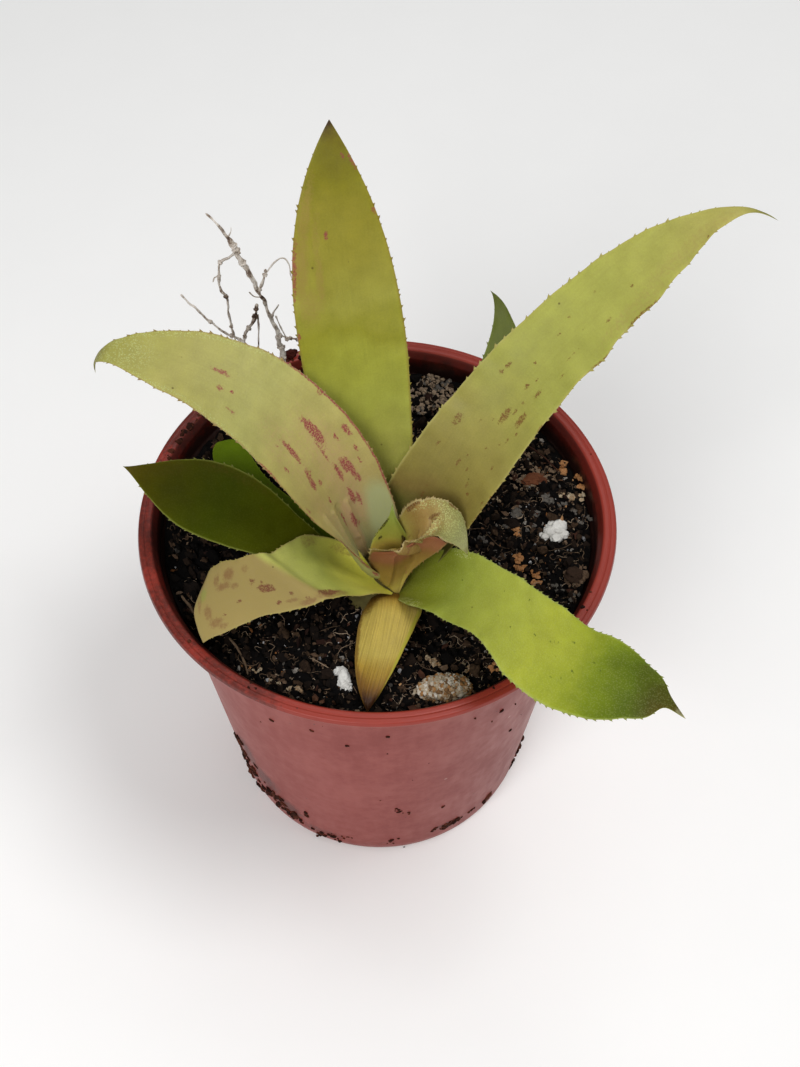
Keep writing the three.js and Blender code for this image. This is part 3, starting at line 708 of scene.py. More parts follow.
# Crumb materials: colours from the darkest crumb to the palest, roughness, and grain per millimetre.
CRUMB_LOOKS = {
    # Soil dried on to plastic: dead matt, red-brown where it is thin.
    "dried_soil": (((0, "1e100c"), (0.5, "34190f"), (1, "5c3022")), 0.95, 1.5),
    # Damp milled peat: almost black, with a few pale fibres that catch the light.
    "peat": (((0, "040303"), (0.48, "0d0907"), (0.78, "221811"), (0.93, "423224"), (1, "5e4c3a")),
             0.95, 1.2),
    # Leaf mould, part rotted and dry on top: grey-brown flakes.
    "leaf_mould": (((0, "1a120d"), (0.4, "38291f"), (0.75, "5c4838"), (1, "86705c")), 0.9, 1.4),
    # Composted pine bark, broken and weathered: dark brown chips with paler faces.
    "pine_bark": (((0, "140b08"), (0.4, "2a1812"), (0.7, "472c20"), (1, "6a4c36")), 0.85, 0.8),
    # Coir, chopped: dull straw-brown fibres.
    "coir": (((0, "2c211a"), (0.5, "64513f"), (1, "a8947e")), 0.9, 1.5),
    # Perlite dust and chips, dirtied by the mix: grey-white specks.
    "perlite_chips": (((0, "5c5a5a"), (0.5, "8e8d8e"), (1, "c4c2c2")), 0.9, 2.2),
    # Clean expanded perlite: chalky white, with grey hollows.
    "expanded_perlite": (((0, "8a8884"), (0.4, "b4b1ac"), (0.75, "cfcdc8"), (1, "dedcd8")), 0.9, 1.4),
    # Pumice with grit stuck to it: cream to grey grains between rusty and brown ones.
    "pumice_grit": (((0, "33261a"), (0.25, "6a5138"), (0.42, "94693c"), (0.58, "9c8c74"),
                     (0.8, "b9b0a2"), (1, "d6d2cc")), 0.9, 1.6),
    # Baked clay, crushed: orange-brown, matt.
    "clay_grit": (((0, "4e2e18"), (0.5, "8c5c34"), (1, "c89c70")), 0.9, 1.4),
    # Crushed stone, dusty: warm greys.
    "stone_grit": (((0, "2c2927"), (0.5, "5c5751"), (1, "9c958c")), 0.9, 1.6),
    # Bark freshly broken: red-brown, a little less matt than the weathered bark.
    "fresh_bark": (((0, "22110c"), (0.5, "4a281a"), (1, "76482f")), 0.85, 0.8),
    # Wet bark stuck on the rim: dark red with a dull shine.
    "red_bark": (((0, "240a08"), (0.5, "4a1a12"), (1, "6a2a1c")), 0.7, 0.8),
    # Leaf sheaths packed round the stem: olive, leathery.
    "stem_sheaths": (((0, "4c4424"), (0.5, "767040"), (1, "94905a")), 0.8, 0.5),
}


def crumb_material(name):
    """Loose organic or mineral crumbs: matt and rough, each with its own tone, with a fine grain."""
    if name in bpy.data.materials:
        return bpy.data.materials[name]
    stops, roughness, grain = CRUMB_LOOKS[name]
    made, tree, shader = material(name, Roughness=roughness, Specular_IOR_Level=0.12)
    noise = add(tree, "TexNoise", {"Vector": in_mm(tree), "Scale": grain, "Detail": 4,
                                   "Roughness": 0.65})[0]
    tone = add(tree, "Attribute", attribute_name="tone")["Fac"]
    mixed = add(tree, "MapRange", (weighted(tree, tone, (noise, 0.5)), 0.15, 1.35))[0]
    feed(shader, {
        "Base Color": add(tree, "ValToRGB", (mixed,), stops)[0],
        "Normal": add(tree, "Bump", {"Height": noise, "Strength": 0.8, "Distance": 0.0004})[0]})
    return made


# ---- leaves -------------------------------------------------------------------------------------
# Shape: a leaf is a strap or a net, `thick` in its middle, with waves of height `ripple` along its
# margins. A strap has the sheath's radius `shell` about the stem, its half angle `wrap` and the
# height `foot` of its base; widths at one third, two thirds and before the point, and the two powers
# of its `taper` to the tip; heading, lift and roll at the base, one third, two thirds and the tip;
# `channel`, the half angle of the section's arc, at the last three of these; and `hook`, the bend of
# the tip in degrees. A net has rows of points from base to tip, at the shares `rows` of the length,
# each x, y, z for every point from one margin to the other, or one point for the whole row. `nudges`
# push a place of the leaf aside: share of the length, share of the half width, push in x, y and z,
# and reach along and across. `folds` raise a ridge or sink a crease between two such places by a
# height, over a width. A second blade of a leaf names that leaf as its `node`.
# Looks: `ramp` runs from base to tip; `back`, `edge` and `spine` colour the underside, the margins
# and the teeth, whose spacing is `teeth` and height `tooth`; `veins`, `scurf` and `gloss` say how
# strong veins, pale scales and shine are, and `vein_scale` how close the veins lie. `marks` are spots
# (share of the length, share of the half width, length, width, strength) of the colour `spot`;
# `dry` and `blush` are patches of the colours `dried` and `tint`, the first being
# dry patches, and on the yellow and the folded leaf also painted shade; `mealy` are patches of pale
# scales; `past` is the line (share of the length at one margin and at the other) beyond which the
# leaf takes the colour `turned`.
LEAVES = {}
LEAVES["leaf_heart"] = dict(
    length=15, thick=0.6, ripple=0.1, teeth=0.9, tooth=0.3, back="9a9a60", edge="8c9550", spine="4a3a1c",
    tint="5e4c22", spot="241408",
    rows=(0, 0.277, 0.482, 0.641, 0.786, 0.893, 1),
    net=(
        (-1.1, -14.4, 109.2, 1.1, -12.9, 108.8, 3.5, -12, 108.8, 5.2, -12.3, 108.8, 6.7, -14, 109.2),
        (-1.5, -14.1, 113, 0.8, -12.9, 113, 3.5, -12.3, 113, 5.9, -12.5, 113, 7.8, -13.7, 113),
        (-0.4, -12.7, 116, 1.5, -11.9, 116, 3.5, -11.4, 116, 5.7, -11.6, 116, 7.6, -13.2, 116),
        (1.2, -11.3, 118.3, 2.4, -10.9, 118.3, 3.6, -10.7, 118.3, 5, -10.8, 118.3, 6.3, -12, 118.3),
        (2.8, -10.2, 120.3, 3.3, -9.9, 120.3, 3.7, -9.8, 120.3, 4.2, -9.9, 120.3, 4.8, -10.4, 120.3),
        (3.4, -9.4, 121.8, 3.6, -9.2, 121.8, 3.8, -9.1, 121.8, 3.9, -9.2, 121.8, 4.2, -9.4, 121.8),
        (3.8, -8.3, 123.2)),
    ramp=((0, "b59e48"), (0.25, "b79e48"), (0.4, "95923b"), (0.65, "858b38"), (1, "879a4a")),
    marks=((0.66, -0.95, 1.2, 0.7, 1.5), (0.42, -0.6, 0.5, 0.5, 1.2), (0.4, 0.75, 1, 0.7, 1.2),
           (0.52, -1, 0.9, 0.35, 1)),
    blush=((0.28, 0.75, 2.6, 1, 1.2),))
LEAVES["leaf_curled"] = dict(
    length=37, thick=0.8, ripple=0.5, teeth=0.8, tooth=0.5, back="7c6230", edge="b5a674", spine="6a4a2a",
    scurf=0.1, spot="6a4428", tint="6e4628", dried="b09a68",
    rows=(0, 0.12, 0.24, 0.36, 0.46, 0.56, 0.65, 0.74, 0.83, 0.91, 0.96, 1),
    net=(
        (6.5, -11.2, 105.9, 7.2, -14.3, 105.7, 5.5, -17, 105.7, 2.3, -17.4, 105.8, -0.2, -15.5, 106),
        (5.2, -8.8, 112, 7.2, -13, 111.6, 5.7, -17.2, 111.6, 1.9, -19, 112, -1.3, -17.6, 113),
        (5.4, -8.9, 117.5, 7.6, -13.2, 116.8, 6.4, -17.9, 116.8, 2.6, -19.9, 117.5, -1.2, -18.8, 118.8),
        (6.8, -8.9, 122, 9, -13, 120.3, 8.6, -18.2, 119.8, 5.7, -20.5, 120.5, 2.2, -21.5, 122.5),
        (8.7, -9.4, 125.5, 10.9, -13.5, 123.5, 10.7, -18.9, 122.8, 8.3, -21.7, 123.5, 5.7, -22.7, 125.3),
        (11.3, -9.9, 127.5, 13, -13.6, 126, 12.7, -18.4, 125, 10.8, -21.7, 126, 8.7, -22.6, 128),
        (14.1, -10.6, 128.5, 15.1, -14.1, 127.5, 14.8, -18.4, 127, 13.1, -21.4, 128, 11.5, -22.6, 130),
        (17, -11.1, 127.8, 17.2, -14.7, 127.6, 16.7, -18.4, 127.5, 15.2, -21.3, 128.6, 14, -22.6, 130.3),
        (19.6, -12.4, 126, 19.3, -16.2, 126.4, 18.5, -19.2, 126.6, 17.5, -21.6, 127.5, 16.5, -23.5, 129),
        (21.1, -14.4, 124, 20.8, -17.5, 124.3, 20.2, -19.9, 124.8, 19.5, -21.7, 125.6, 18.9, -23.1, 126.5),
        (21.6, -17.9, 122.8, 21.5, -19.5, 123, 21.2, -20.6, 123.3, 20.8, -21.7, 123.7, 20.4, -22.7, 124.3),
        (21.7, -21.8, 121.3)),
    folds=((0.5, 1, 0.62, -0.25, 1.3, 0.6), (0.44, 0.9, 0.55, -0.3, -1.2, 0.9),
           (0.36, 0.8, 0.44, -0.2, 0.5, 0.5)),
    ramp=((0, "938245"), (0.25, "9d9147"), (0.4, "8f753d"), (0.5, "9a7d47"), (0.62, "98844f"),
          (0.72, "8c834c"), (0.85, "8e8e57"), (0.95, "a2a06e"), (1, "7c7541")),
    marks=(
        (0.6, -0.45, 2.2, 0.45, 0.9), (0.3, -0.35, 1.4, 0.4, 0.6), (0.52, 0.75, 3, 0.3, 0.8),
        (0.44, -0.95, 2.4, 0.6, 1.3), (0.4, -0.9, 0.8, 0.4, 1), (0.77, -0.95, 1.2, 0.5, 1.1),
        (0.9, -1, 1, 0.4, 0.9), (0.61, -0.28, 1.6, 0.3, 0.9), (0.43, -0.28, 0.5, 0.3, 0.6)),
    dry=((0.57, 0.4, 2.4, 0.7, 0.9),),
    blush=((0.42, 0.1, 4.5, 1.7, 1.1),),
    mealy=((0.85, 0.3, 8, 8, 1.5), (0.7, 0.8, 5, 2.5, 1.2), (0.62, -0.9, 7, 1.2, 1)))
LEAVES["leaf_curled_sheath"] = dict(
    length=26, node="leaf_curled", thick=0.6, ripple=0.3, teeth=1.3, tooth=0.4, back="8a7a48",
    edge="8a7040", spine="4a3018", tint="8c5a3c",
    rows=(0, 0.25, 0.5, 0.75, 1),
    net=(
        (16.6, -23.4, 128.2, 14, -22.4, 129.4, 11.2, -22.3, 129, 8.7, -22.3, 127, 5.7, -22.4, 124.2,
         2.2, -21.2, 121.5, -1.2, -18.5, 117.8),
        (14.1, -23.7, 124.8, 12.2, -22.6, 124.8, 9.9, -21.5, 123.3, 7.8, -21.6, 121.3, 5.3, -21.6, 118.8,
         1.9, -20.9, 116.5, -1.7, -18, 113.5),
        (10.9, -22.5, 119.3, 10, -21.5, 118.7, 8.4, -20.9, 117, 6.7, -20.8, 115.2, 4.8, -21, 113.3,
         2.4, -20.9, 111.8, -0.6, -18.8, 109.5),
        (7.7, -21.3, 112, 7.2, -20.9, 111.5, 6.5, -20.6, 110.5, 5.8, -20.8, 109.5, 4.7, -21, 108.5,
         3.3, -20.9, 107.5, 1.6, -19.9, 106.5),
        (5.5, -21.4, 103.8, 5.4, -21.4, 103.8, 5.3, -21.4, 103.8, 5.1, -21.4, 103.8, 4.8, -21.4, 103.8,
         4.4, -21.3, 104, 4.1, -20.9, 104)),
    folds=((0.1, 0.45, 0.75, 0.75, 0.5, 0.6), (0.05, -0.15, 0.5, -0.5, -0.4, 1.2)),
    # The lighter last stops, at the sheath's foot deep in the rosette, are painted light there.
    ramp=((0, "865134"), (0.22, "845834"), (0.4, "8a6d32"), (0.65, "957b3a"), (0.85, "ae9e4a"),
          (1, "aa964d")),
    marks=((0.55, -0.1, 0.6, 0.35, 0.7), (0.7, -0.5, 0.5, 0.4, 0.8)),
    blush=((0.15, 0.1, 3.2, 8, 0.9),))
LEAVES["leaf_left"] = dict(
    shell=6.3, wrap=112, foot=104.7, length=100.5, widths=(31, 18.5, 35), thick=0.9,
    heading=(157, 143, 183.5, 169.5), lift=(68.5, 84, 17, -10.5), roll=(-3, 26, 11.5, 1),
    channel=(0.5, 22, -5), taper=(4.85, 1.65), hook=79, ripple=0.35, teeth=1.9, tooth=0.42, back="9a9860",
    edge="907448", spine="5a2c22", spot="8a3640", tint="a4a878", dried="b0906a",
    nudges=((0.15, -1, 0.3, 1.8, 0.9, 0.1, 0.8),),
    folds=(
        (0.02, -0.55, 0.2, -0.3, 0.7, 0.8), (0.03, -0.9, 0.22, -0.62, 0.5, 0.9),
        (0, 0.05, 0.08, 0.04, 0.6, 0.6), (0.08, 0.04, 0.19, 0.14, 0.6, 0.6),
        (0.03, -0.1, 0.2, -0.12, -0.5, 0.6), (0.02, 0.2, 0.17, 0.3, -0.4, 0.7)),
    ramp=((0, "969665"), (0.12, "9f9461"), (0.25, "a5965b"), (0.4, "a99f5d"), (0.55, "a4a05f"),
          (0.75, "a09a56"), (0.9, "99964d"), (0.97, "837c40"), (1, "574a26")),
    marks=(
        (0.398, 0.35, 4.2, 1.1, 1), (0.345, 0.24, 3.4, 0.4, 0.8), (0.41, -0.25, 4, 0.7, 0.95),
        (0.4, -0.62, 1.5, 0.5, 0.7), (0.338, -0.27, 1.4, 1.1, 0.7), (0.31, -0.32, 2, 0.8, 0.95),
        (0.292, -0.15, 1, 0.7, 0.7), (0.273, 0.28, 2.8, 0.6, 0.95), (0.28, 0.43, 2.2, 0.7, 0.9),
        (0.262, 0.52, 3.4, 0.7, 1), (0.23, 0.56, 1.4, 0.5, 0.9), (0.193, 0.29, 2.6, 0.7, 1),
        (0.175, 0.4, 2.2, 0.5, 0.95), (0.13, 0.1, 2.6, 0.7, 1), (0.11, 0.2, 1.6, 0.4, 0.65),
        (0.15, -0.1, 3, 0.3, 0.8), (0.233, -0.2, 1.6, 0.4, 0.8), (0.195, -0.38, 1, 0.3, 0.65),
        (0.253, -0.55, 0.8, 0.3, 0.65), (0.292, -0.88, 1.2, 0.5, 0.65), (0.35, 0.83, 1.6, 0.8, 0.85),
        (0.35, 0.6, 1.2, 0.5, 0.7), (0.302, 0.78, 1, 0.5, 0.7), (0.27, 0.73, 1.2, 0.4, 0.65),
        (0.64, -0.17, 1, 0.9, 0.7), (0.615, -0.12, 0.6, 0.5, 0.75), (0.598, -0.5, 1.6, 0.4, 0.7),
        (0.652, 0.18, 2.4, 0.7, 0.75), (0.45, 0.93, 1, 0.6, 0.65), (0.453, -0.42, 0.8, 0.3, 0.65),
        (0.44, -0.99, 4, 0.6, 0.8), (0.28, -1, 2.4, 0.45, 0.75), (0.15, -0.95, 3, 0.5, 0.8),
        (0.4, 1, 15, 0.36, 1.5), (0.24, 1, 9, 0.34, 1.4), (0.12, -0.95, 1.4, 0.5, 1.1),
        (0.075, -0.95, 1.6, 0.6, 1.1), (0.03, -0.9, 1.2, 0.6, 1), (0.1, -1, 0.8, 0.4, 1)),
    dry=((0.3, 0.3, 16, 5, 0.6), (0.42, -0.3, 10, 6, 0.45), (0.2, -0.5, 12, 3, 0.5),
         (0.13, 0.04, 7, 1.4, 1.3), (0.06, 0.05, 5, 1.6, 1.3), (0.17, 0.3, 7, 3, 0.8)),
    blush=((0.1, 0.75, 9, 4, 1.2), (0.02, 0.8, 6, 5, 1)),
    mealy=((0.75, 1, 20, 1.4, 1), (0.7, -1, 20, 1.4, 1), (0.9, 0, 9, 7, 0.7)))
LEAVES["leaf_right"] = dict(
    shell=8.9, wrap=99, foot=101.9, length=128, widths=(25, 6, 44.5), thick=1, heading=(37, 36, 28.5, 0),
    lift=(78, 35, 44.5, 31.5), roll=(-4, -23.5, -20.5, -4.5), channel=(-17, 11.5, 14), taper=(6.2, 2.9),
    hook=67, ripple=0.5, teeth=2.6, tooth=0.45, back="8f9448", edge="a39a58", spine="8a7444", spot="704a26",
    dried="9c8a50",
    nudges=((0.08, 0.95, -1, 1.5, -3, 0.05, 0.5), (0.58, 1, 0.7, -0.7, 0, 0.03, 0.4),
            (0.72, 1, 0.7, -0.7, 0, 0.03, 0.4)),
    ramp=(
        (0, "4a491d"), (0.09, "555322"), (0.14, "766432"), (0.2, "83773a"), (0.3, "928946"),
        (0.45, "989848"), (0.6, "9e9f4b"), (0.75, "a1a04f"), (0.9, "a69f56"), (0.96, "898640"),
        (1, "564c24")),
    marks=(
        (0.37, 0.15, 2.4, 0.9, 0.85), (0.388, 0.28, 0.8, 0.4, 0.9), (0.385, 0.5, 2.2, 0.8, 0.85),
        (0.307, -0.6, 2, 1.1, 0.65), (0.443, -0.52, 1, 0.5, 0.9), (0.425, -0.55, 0.8, 0.6, 0.7),
        (0.438, 0.12, 0.9, 0.5, 0.8), (0.443, 0.43, 1.4, 0.5, 0.8), (0.247, -0.62, 0.9, 0.4, 0.65),
        (0.263, 0, 0.5, 0.4, 0.65), (0.24, -0.08, 1.4, 0.5, 0.7), (0.217, 0.33, 0.9, 0.5, 0.7),
        (0.205, 0.45, 0.7, 0.4, 0.8), (0.14, -0.35, 1, 0.5, 0.65), (0.165, -0.35, 0.8, 0.4, 0.65),
        (0.22, 0.9, 0.8, 0.4, 0.7), (0.338, 0.53, 1, 0.35, 0.65), (0.323, 0.45, 0.5, 0.3, 0.65),
        (0.63, 0.45, 0.9, 0.45, 0.65), (0.642, -0.35, 0.5, 0.3, 0.65), (0.48, -0.1, 0.5, 0.3, 0.7),
        (0.537, 0.43, 2.6, 0.3, 0.55), (0.545, -0.17, 0.6, 0.4, 0.65), (0.858, 0.83, 0.4, 0.3, 0.7),
        (0.685, 1, 5, 0.6, 0.9), (0.562, 1, 3.4, 0.5, 0.8), (0.4, 1, 2, 0.4, 0.7), (0.2, 1, 10, 0.5, 0.7),
        (0.3, 0.25, 0.5, 0.3, 0.8), (0.33, -0.2, 0.6, 0.35, 0.8), (0.36, 0.62, 0.6, 0.3, 0.8),
        (0.28, 0.6, 0.7, 0.35, 0.8), (0.41, 0.3, 0.5, 0.3, 0.8), (0.46, 0.2, 0.6, 0.3, 0.7),
        (0.35, 0, 0.5, 0.3, 0.7), (0.5, 0.6, 0.8, 0.35, 0.7), (0.24, 0.15, 0.6, 0.35, 0.8),
        (0.58, -0.3, 0.5, 0.3, 0.7), (0.7, 0.2, 0.6, 0.35, 0.7)),
    dry=((0.82, 0.55, 16, 2.4, 0.5), (0.68, 0.75, 12, 2.2, 0.5)))
LEAVES["leaf_back"] = dict(
    shell=9.3, wrap=53, foot=101.9, length=106.5, widths=(24, 32, 31), thick=1,
    heading=(107.5, 105.5, 106, 93), lift=(76, 60.5, 54.5, 53), roll=(-8, -1, 0, 0), channel=(25.5, 7, 4),
    taper=(4.2, 1), hook=0, ripple=0.3, teeth=2.4, tooth=0.4, back="8a8f3c", edge="7c6a2a", spine="5a341c",
    dried="8f7a3c",
    ramp=(
        (0, "87853f"), (0.25, "908e40"), (0.38, "95973c"), (0.48, "929334"), (0.55, "878526"),
        (0.62, "918d38"), (0.7, "8a832d"), (0.8, "857d24"), (0.88, "767014"), (0.95, "6a620e"),
        (0.98, "51410b"), (1, "2c1a0a")),
    marks=((0.763, -0.27, 0.9, 0.6, 0.8), (0.805, 0.95, 0.9, 0.8, 0.65), (0.912, 0.95, 1.8, 0.6, 0.75),
           (0.925, 0.58, 0.8, 0.5, 0.7), (0.7, -0.97, 7, 0.7, 0.75), (0.56, -0.98, 1.2, 0.5, 0.75)),
    dry=((0.8, -0.8, 9, 1.4, 0.8), (0.7, -0.82, 8, 1.7, 0.9), (0.67, -0.45, 6.5, 0.9, 0.8),
         (0.62, -0.7, 4, 3, 0.7), (0.76, -0.5, 6, 1, 0.6)))
LEAVES["leaf_folded"] = dict(
    length=54, thick=0.9, ripple=0.4, teeth=2, tooth=0.35, back="8a8450", edge="a09052", spine="5e4420",
    past=(0.6, 0.36), turned="988650", dried="7c583a", tint="8c8c48", spot="6e3e2e",
    rows=(0, 0.07, 0.14, 0.22, 0.32, 0.42, 0.52, 0.62, 0.72, 0.82, 0.92, 1),
    net=(
        (5.1, -21.8, 103.6, 3.6, -20.3, 104, 1.8, -18.9, 105, 0.1, -17.7, 106.6, -1.6, -16.4, 108.2),
        (2.4, -24, 107.8, -0.5, -21.6, 106.8, -3.3, -18.3, 106.6, -4.8, -14.6, 107.2, -4.9, -11.6, 109),
        (0, -26, 111, -4.1, -22.8, 109.4, -7.4, -18.9, 108.8, -9.5, -14.3, 109.3, -9.8, -10, 110.5),
        (-3.2, -28.6, 114, -7.4, -24.8, 112.4, -10.7, -20.3, 111.7, -12.7, -15.8, 111.9, -13.9, -10.6, 113),
        (-7.6, -31.1, 117, -11, -27, 115.6, -14, -22.6, 115, -16.4, -18, 115, -17.8, -12.5, 115.6),
        (-12.3, -33.5, 118.6, -15.1, -29.2, 117.6, -17.9, -24.9, 117, -20.3, -20.3, 117,
         -22.1, -16.6, 117.2),
        (-17.3, -35.6, 119.2, -19.6, -31.3, 118.6, -21.7, -27.2, 118.3, -23.8, -23.2, 118.3,
         -25.7, -19.9, 118.4),
        (-22.8, -37, 118.6, -24.7, -33, 118.6, -26.3, -29.1, 118.6, -28, -24.6, 118.6, -29.4, -20.7, 118.8),
        (-28.4, -38.1, 117.4, -30, -34.5, 117.8, -31.4, -30.2, 118, -32.4, -25.7, 118, -32.9, -21.5, 118.2),
        (-33.6, -39.3, 115.4, -35, -35.6, 116, -36.2, -31.1, 116.4, -36.8, -26.5, 116.6,
         -36.7, -21.2, 116.8),
        (-38, -39.9, 112.8, -39.3, -36.3, 113.6, -40.3, -32, 114.2, -40.2, -27.2, 114.6,
         -39.6, -22.2, 114.9),
        (-40.2, -40.2, 111, -41.6, -37.1, 111.8, -42.8, -32.4, 112.6, -41.8, -27.2, 113,
         -40.3, -22.9, 113.4)),
    folds=((0.56, 1, 0.4, -0.9, 0.7, 1.6),),
    # The first stops are far lighter than the rest: painted light on the leaf's base, which lies in the
    # shade of the rosette.
    ramp=((0, "e9e55c"), (0.15, "bcb94f"), (0.3, "9ca04a"), (0.42, "a7a957"), (0.55, "a9a958"),
          (1, "9d9b52")),
    marks=(
        (0.613, -0.12, 1.6, 1, 1.1), (0.595, -0.22, 1.1, 0.6, 1), (0.63, -0.02, 0.9, 0.5, 0.85),
        (0.365, -0.78, 2.2, 1.1, 1.1), (0.39, -0.72, 1.2, 0.7, 0.9), (0.588, -0.68, 0.6, 0.6, 0.9),
        (0.52, -0.5, 0.6, 0.5, 0.9), (0.468, -0.76, 0.7, 0.4, 0.8), (0.738, -0.3, 0.7, 0.5, 0.8),
        (0.82, -0.5, 0.5, 0.4, 0.8), (0.66, 0.18, 0.9, 0.8, 0.75), (0.62, 0.08, 0.6, 0.6, 0.7)),
    # The two patches near the base by the far margin, at 0.12 and 0.3 of the length, are a painted shadow
    # of leaf_left; the others are brown dry patches.
    dry=(
        (0.77, 0.6, 1.5, 1.6, 1), (0.8, 0.3, 1.9, 1, 0.95), (0.84, 0.55, 1, 1.5, 0.85),
        (0.745, 0.2, 1.1, 0.8, 0.8), (0.87, -0.62, 1.9, 1.3, 0.9), (0.9, -0.25, 1.2, 1.9, 0.85),
        (0.84, -0.8, 1.2, 0.8, 0.8), (0.47, -0.88, 2.2, 0.8, 0.9), (0.53, -0.72, 1.5, 0.6, 0.8),
        (0.35, -0.85, 4, 1.4, 1), (0.3, 0.85, 2.5, 1.6, 0.6), (0.12, 0.75, 3, 1.6, 0.6),
        (0.68, 0.62, 1.2, 1.1, 0.6), (0.95, 0.1, 0.9, 2.2, 0.7)),
    blush=((0.93, 0.3, 1.6, 1.8, 0.9),))
LEAVES["leaf_front_right"] = dict(
    length=87, thick=1, ripple=0.45, teeth=1.5, tooth=0.42, veins=0.03, back="7c8a3a", edge="8f9a4c",
    spine="4a3c1c", scurf=0.12, dried="8f8a6c", spot="4c5a14",
    rows=(0, 0.066, 0.135, 0.197, 0.26, 0.326, 0.395, 0.464, 0.545, 0.629, 0.71, 0.787, 0.857, 0.907, 0.94,
          1),
    net=(
        (6.7, -15.9, 104.5, 6.3, -17, 103.5, 5.8, -18.5, 103, 5.5, -20.2, 103, 5.1, -22.3, 103.5),
        (10.2, -14.7, 108.5, 9.9, -17.9, 107.5, 8.9, -21.1, 107, 7.5, -24, 107, 5.4, -25.5, 107.5),
        (14.5, -14.8, 112.5, 14, -19.1, 111.5, 13, -23.2, 111, 11.1, -27.2, 111, 7.5, -29.4, 111.5),
        (18.5, -15.7, 115.5, 18.2, -20.3, 114.5, 17, -25.1, 114, 14.8, -29.7, 114, 11, -32.8, 114.8),
        (22.4, -18.6, 118, 21.9, -23.1, 117, 20.6, -28.1, 116.8, 18.2, -32.7, 117, 14.4, -36.3, 117.8),
        (26.5, -22.6, 120.3, 25.7, -27.3, 119.5, 23.9, -32, 119.4, 21.3, -36.7, 119.8, 18.4, -41.1, 120.6),
        (30.9, -26.8, 122.3, 29.4, -31.4, 121.8, 27.6, -36.1, 121.9, 25.2, -41.1, 122.5,
         22.5, -45.5, 123.5),
        (35.3, -31.1, 123.5, 33.3, -35.8, 123.5, 31.2, -40.6, 123.8, 28.5, -45.3, 124.5,
         25.2, -50.4, 125.5),
        (40.2, -36.3, 124.5, 37.9, -41.2, 124.8, 35.4, -46, 125.3, 32.5, -50.9, 126, 28.4, -57.1, 127),
        (45.3, -41.4, 125.3, 43.2, -46.2, 125.7, 40.4, -51.3, 126.3, 37.4, -56.6, 127, 33.2, -62.6, 127.8),
        (50.7, -45.3, 125.3, 48.5, -50.2, 126, 46.1, -55.6, 126.7, 43.2, -61, 127.4, 39.4, -66.8, 128.2),
        (56.4, -49.1, 125.5, 54.2, -53.4, 126.2, 51.9, -58.7, 127, 49.5, -64, 127.6, 46.5, -69.4, 128.4),
        (60.7, -53.3, 125.7, 59.2, -56.4, 126.2, 57.7, -60.8, 126.8, 56, -64.7, 127.2, 53.4, -68.6, 127.8),
        (63.7, -57.5, 125.5, 62.9, -59.7, 125.8, 61.7, -62.4, 126.2, 60.4, -65.1, 126.5,
         58.8, -67.8, 126.9),
        (65.1, -61.7, 125, 64.7, -62.5, 125.1, 64.3, -63.3, 125.2, 63.9, -64, 125.3, 63.3, -64.8, 125.5),
        (68.1, -66, 123)),
    ramp=(
        # The first stops, at the base deep in the rosette, are lightened: painted light in the shade there.
        (0, "636518"), (0.08, "747a23"), (0.17, "7f8827"), (0.25, "899337"), (0.37, "969d3c"),
        (0.5, "9da33c"), (0.58, "9ea335"), (0.68, "929a29"), (0.76, "6f7e12"), (0.84, "516106"),
        (0.91, "444806"), (0.95, "4b410a"), (0.975, "696126"), (1, "a6a063")),
    marks=(
        (0.48, 0.26, 0.5, 0.3, 0.8), (0.555, 0, 0.4, 0.4, 0.8), (0.603, -0.12, 0.3, 0.3, 0.9),
        (0.613, -0.16, 0.25, 0.25, 0.9), (0.623, -0.18, 0.35, 0.3, 0.9), (0.657, -0.4, 0.5, 0.35, 1),
        (0.62, 0.22, 0.35, 0.3, 0.8), (0.635, 0.12, 0.3, 0.3, 0.8), (0.69, 0.2, 0.4, 0.4, 0.9),
        (0.73, -0.2, 0.45, 0.35, 0.9), (0.753, -0.1, 0.4, 0.35, 0.9), (0.675, 0.42, 0.3, 0.3, 0.8),
        (0.652, 0.54, 0.3, 0.3, 0.8), (0.718, -0.52, 0.4, 0.3, 0.8), (0.43, 0.18, 0.6, 0.25, 0.8),
        (0.492, -0.64, 0.3, 0.3, 0.8), (0.41, -0.46, 0.3, 0.3, 0.7), (0.25, -0.18, 0.35, 0.35, 0.8)),
    dry=((0.985, 0, 1.5, 1, 0.9),),
    mealy=((0.24, -0.95, 3, 1.4, 1.2), (0.12, 0.9, 4, 1.6, 1.2)))
LEAVES["leaf_left_dark"] = dict(
    shell=10.6, wrap=24, foot=100.6, length=64.5, widths=(6, 39.5, 29), thick=0.9,
    heading=(183, 157.5, 155, 162), lift=(65, 12.5, 10, 2), roll=(-2.5, 5, 3.5, -2),
    channel=(14.5, 12.5, 3), taper=(4.05, 1.3), hook=-5, ripple=0.3, teeth=2.2, tooth=0.35, back="3a4206",
    edge="747a34", spine="8c8456", gloss=0.05, dried="4a4210",
    ramp=((0, "494d04"), (0.3, "454903"), (0.6, "3a4202"), (0.8, "404104"), (0.92, "504907"),
          (1, "574c19")),
    dry=((0.85, 0.6, 6, 3, 0.6), (0.6, 0.9, 12, 2, 0.6)))
LEAVES["leaf_back_right"] = dict(
    shell=11.5, wrap=38, foot=100.8, length=73.5, widths=(19, 19, 18), thick=0.9, heading=(48, 43, 64, 119),
    lift=(73, 22, 22.5, 30.5), roll=(-3, -1.5, -0.5, 0), channel=(24, 10, 6), taper=(2.95, 1.2), hook=37,
    ripple=0.3, teeth=2.4, tooth=0.35, back="5b6430", edge="6c743a", spine="4a3c1c",
    ramp=((0, "535e1d"), (0.6, "5f6924"), (1, "4e541d")))
